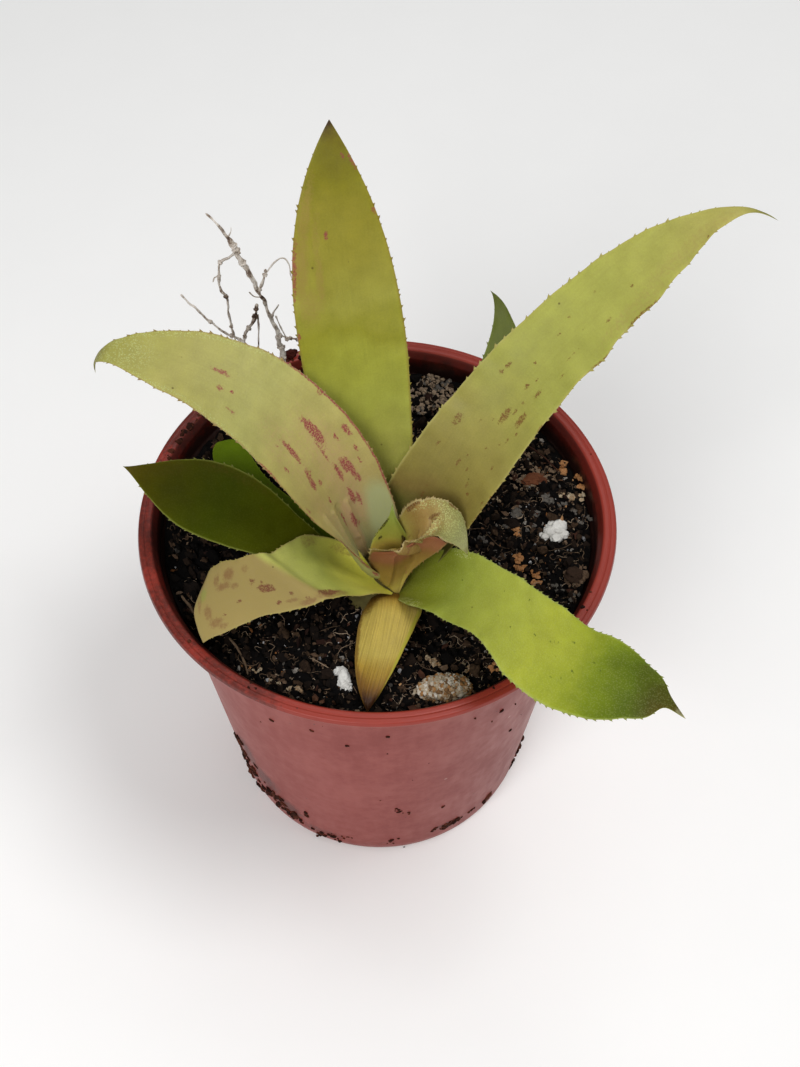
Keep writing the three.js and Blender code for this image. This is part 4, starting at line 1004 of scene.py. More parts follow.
LEAVES["leaf_yellow"] = dict(
    length=36, thick=0.7, ripple=0.25, teeth=0, tooth=0, veins=1, vein_scale=2.6, back="8a7438",
    edge="8a6a2c", spine="5a3a1c", dried="62420f", tint="a09a30",
    rows=(0, 0.153, 0.267, 0.418, 0.553, 0.682, 0.807, 0.915, 1),
    net=(
        (8.7, -21.1, 102.5, 6.3, -20.8, 103, 3.6, -20.3, 103, 1.1, -20.6, 103, -1.1, -21.4, 102.5),
        (9.7, -24.4, 104.5, 7, -24.7, 106.2, 3.9, -24.5, 106.6, 0.7, -24.4, 106, -2.2, -24.7, 104.3),
        (11.1, -27.7, 106, 7.6, -28.6, 107.6, 3.7, -28.4, 108, 0, -28.2, 107.4, -3.3, -27.6, 105.2),
        (9.4, -32.6, 106.6, 6.3, -33.7, 107.4, 2.8, -33.9, 107.6, -0.8, -33.1, 107, -4.2, -32.1, 105.6),
        (7.5, -37, 106.4, 5, -38.3, 106.7, 1.9, -38.7, 106.8, -1.5, -37.9, 106.4, -4.6, -36.6, 105.6),
        (5.7, -41.5, 106, 3.4, -42.8, 106, 0.7, -43.1, 106, -2.1, -42.2, 105.7, -4.8, -40.8, 105.3),
        (3.5, -45.8, 105, 1.7, -47.2, 105, -0.5, -47.4, 105, -2.6, -46.5, 104.8, -4.4, -45.5, 104.8),
        (1, -50, 103.9, -0.2, -50.8, 103.9, -1.4, -51.1, 103.9, -2.5, -50.5, 103.8, -3.4, -49.7, 103.8),
        (-1.7, -53.4, 101.8)),
    # The darker first stops, at the leaf's base under the rosette, are painted shade.
    ramp=((0, "5a3c0e"), (0.13, "7a5818"), (0.2, "a88c3e"), (0.3, "b09a4a"), (0.6, "aa9648"),
          (0.72, "967a2c"), (0.84, "704e1a"), (0.91, "3c2210"), (1, "2e1608")),
    # The first two patches, at the sides of the hood, and the last, across the base, are painted shade
    # under the rosette; the others are brown margins.
    dry=((0.14, 1, 5.5, 3.2, 1.4), (0.14, -0.9, 3.5, 3.2, 1.3), (0.55, 1, 12, 0.8, 1.3),
         (0.85, 0.9, 4, 0.8, 1.2), (0.1, 0, 1.5, 9, 0.8)),
    blush=((0.5, -0.95, 12, 1, 1.1),))
LEAVES["leaf_left_small"] = dict(
    shell=12.2, wrap=35, foot=100.5, length=48.5, widths=(10.5, 6.5, 14), thick=0.8,
    heading=(162, 155, 132.5, 96.5), lift=(59, 4.5, -2.5, 1), roll=(2, 0, 0.5, 4), channel=(20, 10, 5),
    taper=(5, 0.3), hook=0, ripple=0.2, teeth=2.4, tooth=0.3, back="3f5012", edge="62741a", spine="5a5c2c",
    gloss=0.05,
    ramp=((0, "475807"), (0.6, "516408"), (1, "576c0d")))


def pointing(heading, lift):
    """The direction with a heading about the vertical and a lift above level, in radians."""
    return np.stack([np.cos(lift) * np.cos(heading), np.cos(lift) * np.sin(heading), np.sin(lift)], -1)


def leaf_axes(leaf, s):
    """Midrib points and the section's sideways and face directions at shares s of the length: the
    midrib is walked along the leaf's heading and lift, and the tip bends by `hook`."""
    t = np.linspace(0, 1, MIDRIB_STEPS + 1)
    bend = leaf["hook"] * smooth((t - HOOK_FROM) / (1 - HOOK_FROM))
    lift = np.radians(bezier(leaf["lift"], t) - bend)
    head = np.radians(bezier(leaf["heading"], t))
    along = pointing(head, lift)
    walk = np.concatenate([np.zeros((1, 3)), np.cumsum((along[1:] + along[:-1]) / 2, 0)])
    first = math.radians(leaf["heading"][0])
    root = np.array([STEM[0] + leaf["shell"] * math.cos(first),
                     STEM[1] + leaf["shell"] * math.sin(first), leaf["foot"]])
    path = root + walk * leaf["length"] / MIDRIB_STEPS
    at = np.stack([np.interp(s, t, path[:, i]) for i in range(3)], -1)
    head, lift = np.interp(s, t, head), np.interp(s, t, lift)
    level = np.stack([np.sin(head), -np.cos(head), 0 * head], -1)
    up = np.cross(level, pointing(head, lift))
    roll = np.radians(bezier(leaf["roll"], s))[:, None]
    return at, level * np.cos(roll) + up * np.sin(roll), up * np.cos(roll) - level * np.sin(roll)


def net_points(leaf, s, v):
    """Points of a net: smooth curves through its rows and its columns."""
    width = len(leaf["net"][0])
    net = np.array([row * (width // len(row)) for row in leaf["net"]], float)
    along = spline_shares(np.array(leaf["rows"]), s)
    across = spline_shares(np.linspace(-1, 1, width // 3), v)
    return np.einsum("ir,jc,rcx->ijx", along, across, net.reshape(len(net), -1, 3))


def leaf_half_width(leaf, s):
    """Half the width across the blade. A net's is half the length across its points. A strap's is
    the sheath's share of its circle at the base, then the widths, narrowed by a power curve to the
    spine at the tip."""
    if "net" in leaf:
        across = net_points(leaf, s, np.linspace(-1, 1, 9))
        return np.maximum(np.linalg.norm(np.diff(across, axis=1), axis=2).sum(1) / 2, 0.05)
    power, point = leaf["taper"]
    sheath = 2 * leaf["shell"] * math.radians(leaf["wrap"])
    blade = bezier((sheath, *leaf["widths"]), s) / 2 * np.maximum(1 - s ** power, 0) ** point
    return np.maximum(blade, SPINE * np.minimum(1, (1 - s) / 0.1))


def leaf_middle(leaf, s, v, seed):
    """Points of the blade's middle surface at shares s (rows) and v (columns), and half the width:
    the net or the strap, whose section is an arc of half angle `channel` as long as the leaf is
    wide, with ripples that grow towards the margins, and with the nudges."""
    half = leaf_half_width(leaf, s)[:, None]
    length_mm = s[:, None] * leaf["length"]
    free = smooth((s[:, None] - 0.12) / 0.2) * smooth((1 - s[:, None]) / 0.15)
    edge = np.abs(v[None]) ** 2.5
    one, other = (waves(length_mm, 0 * v, long, seed + k)
                  + 0.35 * waves(length_mm, 0 * v, short, seed + k + 4)
                  for k, long, short in ((0, 17, 5), (1, 15, 6)))
    wave = np.where(v[None] > 0, one, other)
    rise = leaf["ripple"] * free * (edge * wave * 1.2 + 0.3 * waves(length_mm, half * v, 24, seed + 2))
    if "net" in leaf:
        points = net_points(leaf, s, v)
        points[..., 2] += rise
    else:
        at, side, face = leaf_axes(leaf, s)
        arc = np.radians(bezier((leaf["wrap"], *leaf["channel"]), s))[:, None]
        arc = np.where(np.abs(arc) < 1e-4, 1e-4, arc)
        turn = arc * v[None]
        reach, lift = half * np.sin(turn) / arc, half * (1 - np.cos(turn)) / arc + rise
        points = at[:, None] + side[:, None] * reach[..., None] + face[:, None] * lift[..., None]
    for s0, v0, dx, dy, dz, long, wide in leaf.get("nudges", ()):
        near = np.exp(-((s[:, None] - s0) / long) ** 2 - ((v[None] - v0) / wide) ** 2)
        points = points + near[..., None] * np.array([dx, dy, dz])
    return points, half


def leaf_sheet(leaf, s, v, seed):
    """The middle surface with its folds, its facing (across times along) and half the width."""
    points, half = leaf_middle(leaf, s, v, seed)
    ahead, behind = (leaf_middle(leaf, np.clip(s + e, 0, 1), v, seed)[0] for e in (0.004, -0.004))
    right, left = (leaf_middle(leaf, s, np.clip(v + e, -1, 1), seed)[0] for e in (0.004, -0.004))
    normal = np.cross(right - left, ahead - behind)
    normal /= np.maximum(np.linalg.norm(normal, axis=2), 1e-12)[..., None]
    x, y = half * v[None], np.broadcast_to(s[:, None] * leaf["length"], points.shape[:2])
    for s0, v0, s1, v1, height, width in leaf.get("folds", ()):
        y0, y1 = s0 * leaf["length"], s1 * leaf["length"]
        x0, x1 = np.array([v0, v1]) * leaf_half_width(leaf, np.array([s0, s1]))
        t = (x - x0) * (x1 - x0) + (y - y0) * (y1 - y0)
        t = np.clip(t / ((x1 - x0) ** 2 + (y1 - y0) ** 2), 0, 1)
        far = np.hypot(x - x0 - t * (x1 - x0), y - y0 - t * (y1 - y0))
        points = points + normal * (height * np.exp(-(far / width) ** 2))[..., None]
    return points, normal, half


def spots(x, y, half, length, marks):
    """The highest of the soft-edged spots that `marks` puts on the blade, 1 or more at their hearts."""
    field = np.zeros(np.broadcast(x, y).shape)
    for s, v, long, wide, strength in marks:
        far = np.hypot((y - s * length) / long, (x - v * half) / wide)
        field = np.maximum(field, strength * np.clip(1.6 - far, 0, 1))
    return field


def leaf_blade(leaf, seed):
    """The closed blade: upper and lower faces half the thickness off the middle surface, meeting in
    rounded margins. The thickness thins to the margins and the tip."""
    rows = max(int(leaf["length"] / BLADE_STEPS[0]), 70)
    wide = float(leaf_half_width(leaf, np.linspace(0, 1, 20)).max()) * 2
    cols = min(max(int(wide / BLADE_STEPS[1]), 26), 84)
    s = np.linspace(0, 1, rows)
    v = np.sin(np.linspace(-1, 1, cols) * math.pi / 2) * 0.35 + np.linspace(-1, 1, cols) * 0.65
    points, normal, half = leaf_sheet(leaf, s, v, seed)
    round_off = np.sqrt(np.clip(1 - np.abs(v[None]) ** 14, 0, 1))
    ends = np.clip(s * 60, 0, 1)[:, None] * np.clip((1 - s) * 25, 0, 1)[:, None] ** 0.7
    depth = 0.5 * leaf["thick"] * (1 - 0.62 * v[None] ** 2) * (1 - 0.5 * s[:, None]) * round_off * ends
    depth = depth[..., None]
    upper, lower = points + normal * depth, points - normal * depth
    ring = np.concatenate([upper, lower[:, -2:0:-1]], 1)
    vv = np.concatenate([v, v[-2:0:-1]])[None]
    x, y = half * vv, np.broadcast_to(s[:, None] * leaf["length"], (rows, vv.shape[1]))
    under = np.concatenate([np.zeros(cols), np.ones(cols - 2)])[None]
    first, last = leaf.get("past", (9, 9))
    line = first + (last - first) * (1 - vv) / 2
    patches = {key: spots(x, y, half, leaf["length"], leaf.get(key, ()))
               for key in ("marks", "dry", "blush", "mealy")}
    return outward(welded(grid(
        ring, around=True, past=smooth((s[:, None] - line) / 0.05 + 0.5), along=s[:, None], across=vv,
        blade=np.stack([x, y, np.broadcast_to(under, x.shape)], -1), **patches)))


# A tooth's section at five places: the share of its height, half width and half thickness.
TOOTH = np.array([(-0.3, 0.1, 0.45, 0.8, 1.0), (1.1, 0.72, 0.36, 0.14, 0.02),
                  (0.3, 0.28, 0.2, 0.1, 0.02)])


def leaf_teeth(leaf, seed, height):
    """Marginal spines: small flat cones, four-sided, that lean forward as they rise from the margin:
    a point at share t of the height lies t out and 0.8 t squared forward."""
    rng = np.random.default_rng(seed)
    parts = []
    for sign in (-1.0, 1.0):
        count = int(leaf["length"] * 0.86 / leaf["teeth"])
        s = 0.1 + 0.86 * (np.arange(count) + 0.5 + 0.7 * (rng.random(count) - 0.5)) / count
        at, normal, half = leaf_sheet(leaf, s, np.array([sign]), seed)
        inner, _, _ = leaf_sheet(leaf, s, np.array([sign * 0.9]), seed)
        ahead, _, _ = leaf_sheet(leaf, np.minimum(s + 0.004, 1), np.array([sign]), seed)
        at, inner, ahead = at[:, 0], inner[:, 0], ahead[:, 0]
        forward = unit(ahead - at)
        out = at - inner
        out = unit(out - forward * (out * forward).sum(1)[:, None])
        flat = np.cross(out, forward)
        size = leaf["tooth"] * height * (0.5 + rng.random(count)) * smooth((1 - s) / 0.12)
        size *= 0.35 + 0.65 * smooth((half[:, 0] - 1.5) / 3)
        t, wide, thin = TOOTH[:, None, :, None]
        size = size[:, None, None]
        core = at[:, None] + out[:, None] * t * size
        core = core + forward[:, None] * 0.8 * np.maximum(t, 0) ** 2 * size
        around = [forward[:, None] * wide, flat[:, None] * thin,
                  -forward[:, None] * wide, -flat[:, None] * thin]
        body = np.stack([core + a * size for a in around], 2)
        faces = np.concatenate([grid(np.zeros((5, 4, 3)), around=True)["faces"],
                                [(3, 2, 1, 0), (16, 17, 18, 19)]])
        made = copies(body.reshape(count, 20, 3), faces, 0)
        made["data"] = {
            "spine": np.tile(np.repeat(np.clip(t[0, :, 0], 0, 1), 4), count)[:, None],
            "along": np.repeat(s, 20)[:, None], "across": np.full((count * 20, 1), sign),
            "blade": np.stack([np.repeat(half[:, 0] * sign, 20), np.repeat(s * leaf["length"], 20),
                               np.zeros(count * 20)], -1)}
        parts.append(outward(made))
    return parts


def leaf_material(name, leaf):
    """Living bromeliad leaf: a waxy skin over faint parallel veins, satin rather than glossy and a
    little translucent, mealy with fine pale scales, with brown flecks, red anthocyanin spots made of
    grains, dry tan patches and darker spines; on some leaves the colours along the leaf and some
    patches hold painted light and painted shade."""
    made, tree, shader = material(name, IOR=1.42, Subsurface_Weight=0.22, Subsurface_Scale=0.0012,
                                  Subsurface_Radius=(0.9, 1.0, 0.35),
                                  Specular_IOR_Level=leaf.get("gloss", 0.24))
    read = {key: add(tree, "Attribute", attribute_name=key)["Fac"] for key in (
        "along", "across", "marks", "dry", "blush", "mealy", "past", "spine")}
    blade = add(tree, "Attribute", attribute_name="blade")["Vector"]
    under = add(tree, "SeparateXYZ", (blade,))[2]
    thread = add(tree, "VectorMath", (blade, (leaf.get("vein_scale", 1.5), 0.05, 1)), **TIMES)[0]
    # Noise: clouds of 10 mm, blotches of 6 mm, a mealy grain of 0.5 mm, ragged edges of 0.8 mm, the
    # grains of the spots, and parallel veins, 0.7 mm apart at a scale of 1.5.
    cloud, mottle, grain, ragged, pores, veins = (
        add(tree, "TexNoise", {"Vector": vector, "Scale": scale, "Detail": detail, "Roughness": rough})[0]
        for vector, scale, detail, rough in (
            (blade, 0.1, 3, 0.5), (blade, 0.17, 4, 0.55), (blade, 2.2, 3, 0.65),
            (blade, 1.2, 4, 0.7), (blade, 2.6, 2, 0.6), (thread, 1, 2, 0.5)))
    # The base colour along the leaf, shifted by up to 7 % of its length, and shaded by the noise.
    shift = add(tree, "Math", (cloud, 0.5), operation="SUBTRACT")[0]
    base = add(tree, "ValToRGB", (weighted(tree, read["along"], (shift, 0.14)),), leaf["ramp"])[0]
    deep = leaf.get("veins", 0.1)
    light = weighted(tree, 1 - 0.5 * (deep + 0.45 + 0.3), (veins, deep), (mottle, 0.45), (grain, 0.3))
    base = add(tree, "VectorMath", {0: base, "Scale": light}, operation="SCALE")[0]
    side = add(tree, "Math", (read["across"],), operation="ABSOLUTE")[0]
    rim = add(tree, "MapRange", (side, 0.94, 1, 0, 0.7), **SOFT)[0]
    # The drawn patches get ragged edges, and the spots grains that let the green through.
    masks = {}
    for key, rough, low, high, full in (("marks", 1.9, 1.3, 1.75, 0.95), ("dry", 1.7, 1, 2, 0.75),
                                        ("blush", 0.4, 0.4, 1.2, 0.9), ("mealy", 0.8, 0.5, 1.2, 0.85)):
        edge = weighted(tree, read[key], (ragged, rough))
        masks[key] = add(tree, "Math", (add(tree, "MapRange", (edge, low, high, 0, full), **SOFT)[0],
                                        add(tree, "MapRange", (read[key], 0, 0.35), **SOFT)[0]),
                         **TIMES)[0]
    grains = add(tree, "MapRange", (pores, 0.38, 0.56, 0.35, 1), **SOFT)[0]
    spotted = add(tree, "Math", (masks["marks"], grains), **TIMES)[0]
    # Brown flecks of 0.4 mm, and the pale scales, 0.2 mm across.
    flecks = dots(tree, blade, 0.2, 0.66, 0.075, 0.03, 0.8)
    scale = add(tree, "TexVoronoi", {"Vector": blade, "Scale": 2.4})["Distance"]
    scurf = add(tree, "Math", (add(tree, "MapRange", (scale, 0.5, 0.2))[0],
                               weighted(tree, leaf.get("scurf", 0.02), (masks["mealy"], 1))), **TIMES)[0]
    colour = layered(tree, base, (
        (read["past"], leaf.get("turned", leaf["back"])), (under, leaf["back"]),
        (masks["blush"], leaf.get("tint", "a8a878")), (masks["dry"], leaf.get("dried", "8a6a42")),
        (rim, leaf["edge"]), (scurf, "b4b878"), (spotted, leaf.get("spot", "86383c")),
        (flecks, "54441c"), (read["spine"], leaf["spine"])))
    ribs = add(tree, "Math", (veins, 3 * deep), **TIMES)[0]
    relief = weighted(tree, ribs, (mottle, 1.2), (grain, 0.5), (scurf, 1))
    feed(shader, {
        "Base Color": colour,
        "Roughness": add(tree, "MapRange", (mottle, 0.3, 0.7, 0.42, 0.6))[0],
        "Normal": add(tree, "Bump", {"Height": relief, "Strength": 0.5, "Distance": 0.00015})[0]})
    return made


# ---- roots and fibres ---------------------------------------------------------------------------
def curve_points(through, count):
    """Evenly spread points on a smooth (Catmull-Rom) curve through the given ones."""
    p = np.array([q if len(q) == 3 else (q[0], ROOT_PLANE, q[1]) for q in through], float)
    p = np.concatenate([2 * p[:1] - p[1:2], p, 2 * p[-1:] - p[-2:-1]])
    out = []
    t = np.linspace(0, 1, 24, endpoint=False)[:, None]
    for a, b, c, d in zip(p[:-3], p[1:-2], p[2:-1], p[3:]):
        out.append(0.5 * (2 * b + (c - a) * t + (2 * a - 5 * b + 4 * c - d) * t ** 2
                          + (3 * b - a - 3 * c + d) * t ** 3))
    line = np.concatenate(out + [p[-2:-1]])
    run = np.concatenate([[0], np.cumsum(np.linalg.norm(np.diff(line, axis=0), axis=1))])
    at = np.linspace(0, run[-1], count)
    return np.stack([np.interp(at, run, line[:, i]) for i in range(3)], -1), run[-1]


def strand_line(through, radius, seed, step):
    """The middle line of a root: a smooth curve that wanders by a third of the radius; its length."""
    _, length = curve_points(through, 4)
    count = max(int(length / step), 8)
    line, _ = curve_points(through, count)
    s = np.linspace(0, 1, count)
    line[:, 0] += 0.35 * radius * waves(s * length, 0, 7, seed)
    line[:, 1] += 0.35 * radius * waves(s * length, 0, 6, seed + 1)
    return line, s, length


def strand(through, radius, seed, taper=0.35, gnarl=0.2, sides=12, step=0.5, tones=(0.5, 0.5)):
    """A root: a tube along a smooth curve, its radius narrowing to the end and swelling at random
    by `gnarl`, with both ends closed, and its tone going from the first of `tones` to the second."""
    line, s, length = strand_line(through, radius, seed, step)
    along = unit(np.gradient(line, axis=0))
    aside = unit(np.cross(along, np.array([0.3, 0.9, 0.2])))
    other = np.cross(along, aside)
    phi = np.arange(sides) * TAU / sides
    run = s[:, None] * length
    swell = 1 + gnarl * waves(run, phi * 1.2, 3.0, seed + 2) + gnarl * waves(run, 0 * phi, 5.0, seed + 3)
    size = radius * (1 - taper * s[:, None]) * swell
    size = size * np.sqrt(np.clip(np.minimum(s, 1 - s) * length / radius, 0, 1))[:, None]
    ring = np.cos(phi)[:, None] * aside[:, None] + np.sin(phi)[:, None] * other[:, None]
    points = line[:, None] + ring * size[..., None]
    tone = tones[0] + (tones[1] - tones[0]) * s
    return outward(welded(grid(points, around=True, tone=tone[:, None])))


# The dry roots: radius, taper, tone at the start and at the end, and the path, whose points are x, y
# and z, or x and z for a point in the plane that most of them lie in.
ROOT_PLANE = 46
ROOTS = (
    (0.66, 0.15, (1, 0.2), ((-25, 43, 100.6), (-25.3, 44.5, 110), (-25.8, 118), (-26.7, 124.9),
        (-27.9, 130.1), (-28.9, 134.4), (-30.3, 139.8), (-32.7, 147), (-34.9, 153.1), (-36.5, 157.6))),
    (0.62, 0.6, (0.1, 0.3), ((-34.4, 152), (-36.9, 158.6), (-38.2, 161.4), (-41.2, 165.4))),
    (0.36, 0.35, (0.3, 0.7), ((-34.9, 153.1), (-37.1, 151), (-39.2, 149.3), (-39.9, 144.9), (-39.8, 140),
        (-38.8, 137.5), (-38.5, 132.5), (-38.4, 127.4), (-37.3, 45, 121), (-35, 43.5, 112))),
    (0.24, 0.4, (0.9, 1), ((-30.3, 139.8), (-29.3, 142.9), (-28.1, 146), (-25.6, 149.8), (-23.5, 151.2),
        (-22.2, 148.8), (-21.9, 144.7), (-21.1, 140.9))),
    (0.42, 0.8, (0.3, 0.1), ((-30, 140.6), (-28.6, 144.6), (-28.2, 147.2))),
    (0.24, 0.3, (0.8, 0.6), ((-27.9, 130.1), (-26.8, 132.6), (-25.5, 135.2))),
    (0.42, 0.3, (0.3, 0.4), ((-31, 135.4), (-31.5, 133.7), (-32, 130), (-33.8, 126.3), (-35.4, 122.5),
        (-36.5, 44, 114))),
    (0.24, 0.4, (0.5, 0.5), ((-31.1, 131.5), (-31.4, 125), (-32, 45.5, 117.4))),
    (0.42, 0.4, (0.9, 0.7), ((-26.3, 44.2, 106), (-31, 45.6, 115), (-37, 122.2), (-39.2, 123.6),
        (-40.9, 125.1), (-43.2, 128.1), (-45.1, 130.3), (-46.8, 133.5), (-48.2, 134.9), (-50.1, 138.5))),
    (0.18, 0.4, (0.4, 0.6), ((-36.6, 157.6), (-35.6, 159.8), (-35.4, 161.2))),
    (0.18, 0.4, (0.6, 0.6), ((-32.9, 139.4), (-31.6, 137.8), (-29.9, 137.6))),
    (0.2, 0.4, (0.5, 0.5), ((-39.9, 144.9), (-41.1, 144.2), (-41.6, 142.6))),
    (0.26, 0.4, (0.4, 0.5), ((-26.4, 123.6), (-24, 122.8), (-21.6, 122.2), (-19.6, 121.6))),
    (0.24, 0.4, (0.6, 0.4), ((-26.7, 131), (-25.4, 126), (-24, 122))),
)
ROOT_SEED = 200
ROOT_STEP = 0.35
# Knots on the roots: the root's row, the share of its length, size.
KNOTS = (
    (1, 0.11, 1), (1, 0.26, 0.85), (4, 0.76, 0.6), (4, 0.97, 0.4), (2, 0.13, 0.6), (2, 0.24, 0.5),
    (2, 0.41, 0.55), (2, 0.65, 0.5), (6, 0.1, 0.6), (6, 0.23, 0.75), (6, 0.43, 0.65), (6, 0.59, 0.55),
    (5, 0.17, 0.45), (12, 0.07, 0.7), (13, 0.97, 0.55), (12, 0.5, 0.5), (12, 0.75, 0.55), (0, 0.318, 0.95),
    (0, 0.26, 0.9), (8, 0.71, 0.55), (8, 0.53, 0.6), (8, 0.47, 0.5), (3, 0.02, 0.5), (0, 0.86, 0.9),
)


def knot_part(seed):
    """The knots: small balls with uneven swellings, each on its root's middle line."""
    v, f = ball(2)
    made = []
    for i, (row, share, size) in enumerate(KNOTS):
        radius, _, _, through = ROOTS[row]
        line, _, _ = strand_line(through, radius, ROOT_SEED + row, ROOT_STEP)
        at = line[int(share * (len(line) - 1))]
        body = v * (size * (1 + 0.3 * knobs(v, seed + i, 0.9)))[:, None] + at
        made.append(copies(body[None], f, 0.25))
    return joined(made)


def stem_part():
    """The short stem in its packed sheath bases: a turned cone whose radius swells in five ridges
    that wind slowly upwards, with five roots that run down into the mix."""
    profile = [(0, 88), (4, 88), (12.2, 97.2), (12, 99.8), (11.2, 101.2), (9.4, 102.4), (8, 104.2),
               (6.2, 106), (4.4, 107.6), (2.4, 108.9), (0, 109.3)]
    profile = spaced(rounded(profile, 0.8), 0.6)
    angle = np.arange(96) * TAU / 96
    r, z = profile[:, :1], profile[:, 1:]
    ridge = np.abs(np.sin(2.5 * angle[None] + 0.35 * z)) ** 0.6
    r = r * (1 - 0.05 * (1 - ridge) * smooth((z - 97) / 4))
    cone = np.stack([STEM[0] + r * np.cos(angle), STEM[1] + r * np.sin(angle), z + 0 * r], -1)
    parts = [outward(welded(grid(cone, around=True)))]
    for k in range(5):
        turn = TAU * k / 5 + 0.3
        path = [(STEM[0] + d * math.cos(turn + d / 40), STEM[1] + d * math.sin(turn + d / 40), h)
                for d, h in ((4, 93), (10, 90), (17, 84), (20, 75.5))]
        parts.append(strand(path, 0.9, 240 + k, sides=8, step=1.0))
    return joined(parts)


def root_material():
    """Dry bromeliad root: a pale papery stele where the brown rind has peeled off in rings."""
    made, tree, shader = material("dry_root", Roughness=0.85, Specular_IOR_Level=0.2)
    way = in_mm(tree)
    patch, grain = (
        add(tree, "TexNoise", {"Vector": way, "Scale": scale, "Detail": detail, "Roughness": rough})[0]
        for scale, detail, rough in ((0.3, 5, 0.7), (1.6, 4, 0.5)))
    tone = add(tree, "Attribute", attribute_name="tone")["Fac"]
    stops = ((0.4, "3a2a22"), (0.48, "7c695c"), (0.54, "b2a69a"), (0.7, "e0d8d0"))
    feed(shader, {
        "Base Color": add(tree, "ValToRGB", (weighted(tree, patch, (tone, 0.16)),), stops)[0],
        "Normal": add(tree, "Bump", {"Height": grain, "Strength": 0.8, "Distance": 0.0003})[0]})
    return made


# The larger grains: node, material, slot, roughness, and a row for lumps_at for each lump.
GRAINS = (
    ("perlite_front", "expanded_perlite", "perlite", 0.14, (
        (-7.6, -43.5, 1.7, 3, 1.7, 14, 0.8), (-6.7, -45.9, 1.4, 1.4, 1.2, 0, 0.7),
        (-8.7, -41.4, 1.3, 1.3, 1.1, 0, 0.9))),
    ("perlite_right", "expanded_perlite", "perlite", 0.14, (
        (46.2, 1.4, 2.3, 1.9, 1.9, 20, 0.85), (44.2, 0.4, 1.9, 1.5, 1.4, 0, 0.7),
        (42.6, -1.2, 1.1, 1, 0.9, 50, 0.6), (45.6, -1.9, 1.8, 1.4, 1.3, 30, 0.75),
        (47.6, -0.8, 1.2, 1.2, 1.1, 0, 0.7), (44.6, 2.6, 1.2, 1, 1, 0, 0.8),
        *heap(63, 45, -0.4, (3.2, 3.4), 16, 0.55, 0.55))),
    ("clump_right", "leaf_mould", "fibre_clump", 0.25, (
        (49.2, -13.6, 2.2, 2.4, 1.3, 50, 0.25), *heap(65, 49.8, -13.6, (3, 3.6), 90, 0.42, 0.85))),
    ("bark_chip_right", "fresh_bark", "bark", 0.16, (
        (40.6, 17.6, 2.9, 1.7, 0.9, 20, 0.8), (42.6, 17.2, 1.7, 1.1, 0.7, -20, 0.65))),
)
RIM_CRUMB = ((-24.2, 52.6, 1.5, 1.2, 1.3, 0, 0.3), (-23.3, 53.3, 0.9, 0.8, 0.8, 0, 0.1))
# Small heaps of grit on the mix: x, y, number of grains and their size.
CLAY_HEAPS = (
    (48.3, 20.3, 9, 0.75), (52.6, 16.6, 5, 0.7), (53.2, 14.2, 4, 0.6), (35.4, 0.8, 6, 0.7),
    (35.6, -7.4, 8, 0.8), (36.4, -10.3, 7, 0.7), (39.3, -12.7, 5, 0.6), (39.8, -14.2, 4, 0.55),
    (28.7, -39.8, 7, 0.6), (34, -44.6, 3, 0.5), (-31, -40, 2, 0.35),
)
PALE_HEAPS = (
    (49.8, 11, 5, 0.7), (48, 11.5, 3, 0.7), (52.5, 10.4, 3, 0.5), (-19.5, -45.7, 8, 0.55),
    (-17.8, -46.8, 6, 0.5), (14.6, -38.8, 5, 0.65), (13.1, -38, 4, 0.6), (21.5, -39.8, 4, 0.5),
    (13.1, 45.9, 3, 0.5), (18.3, 48.1, 2, 0.5), (31, 12, 4, 0.35), (-24, -44, 4, 0.4),
    (-28.1, -41.4, 4, 0.4),
)
GREY_HEAPS = (
    (43.9, 11.3, 8, 0.65), (36.1, 6.6, 10, 0.65), (33.7, 3, 8, 0.55), (26.1, -1.4, 6, 0.5),
    (47.2, 9.2, 3, 0.5), (40.6, 8.2, 4, 0.5), (52.9, 3.2, 4, 0.5), (31.1, -5.8, 4, 0.45),
    (42, 6.3, 4, 0.45), (50.6, 6.4, 4, 0.5), (39.3, 2.1, 5, 0.45), (45.2, -16.6, 6, 0.5),
    (48.6, -19.6, 5, 0.5), (12.3, 51, 6, 0.5), (15.8, 48, 8, 0.5), (13.1, 46.2, 6, 0.5),
    (18.1, 49.6, 5, 0.5), (12, 41, 8, 0.5), (16, 43, 5, 0.5),
)
# Loose fibres on the mix: node, material, slot, radius, where it starts and ends.
LOOSE_FIBRES = (
    ("twig_front_left", "coir", "twig", 0.32, (-35.6, -32.3), (-30.2, -43.4)),
    ("straw_left", "coir", "straw", 0.3, (-48.2, -20.5), (-43.2, -30)),
    ("rootlet_right", "pine_bark", "dry_root", 0.3, (39.5, 27.5), (47, 18.5)),
)


# ---- stage --------------------------------------------------------------------------------------
# The camera, in metres and degrees: where it stands, how far it looks down, and its roll. Its focal
# length is 1500 pixels of a frame 1067 pixels high.
CAMERA_AT = (0.00569, -0.22397, 0.41105)
CAMERA_DIP = 54.287
CAMERA_ROLL = 0.402
FOCAL, FRAME_HIGH = 1500, 1067
SENSOR = 36.0
# The lamps, in metres: place and size; each is aimed at LIT.
LAMPS = {"key": ((0.45, -0.12, 1.2), 0.5), "front": ((-0.35, -0.75, 0.85), 0.6),
         "back": ((0.1, 0.5, 1.1), 0.6)}
LIT = (0, 0, 0.1)
FLOOR_HALF = 1500.0
FLOOR_DROP = 0.02


# ---- settings -----------------------------------------------------------------------------------
class PotSettings(bpy.types.PropertyGroup):
    dust: FloatVectorProperty(name="Dust", description="Film of dust and lime on the wall",
                              subtype="COLOR", size=3, default=linear("782821"))
    segments: IntProperty(name="Segments", description="Facets round the pot", default=240,
                          min=64, max=480)


class PlantSettings(bpy.types.PropertyGroup):
    tooth: FloatProperty(name="Tooth size", description="Height of the leaf spines against normal",
                         default=1.0, min=0.0, max=2.0)


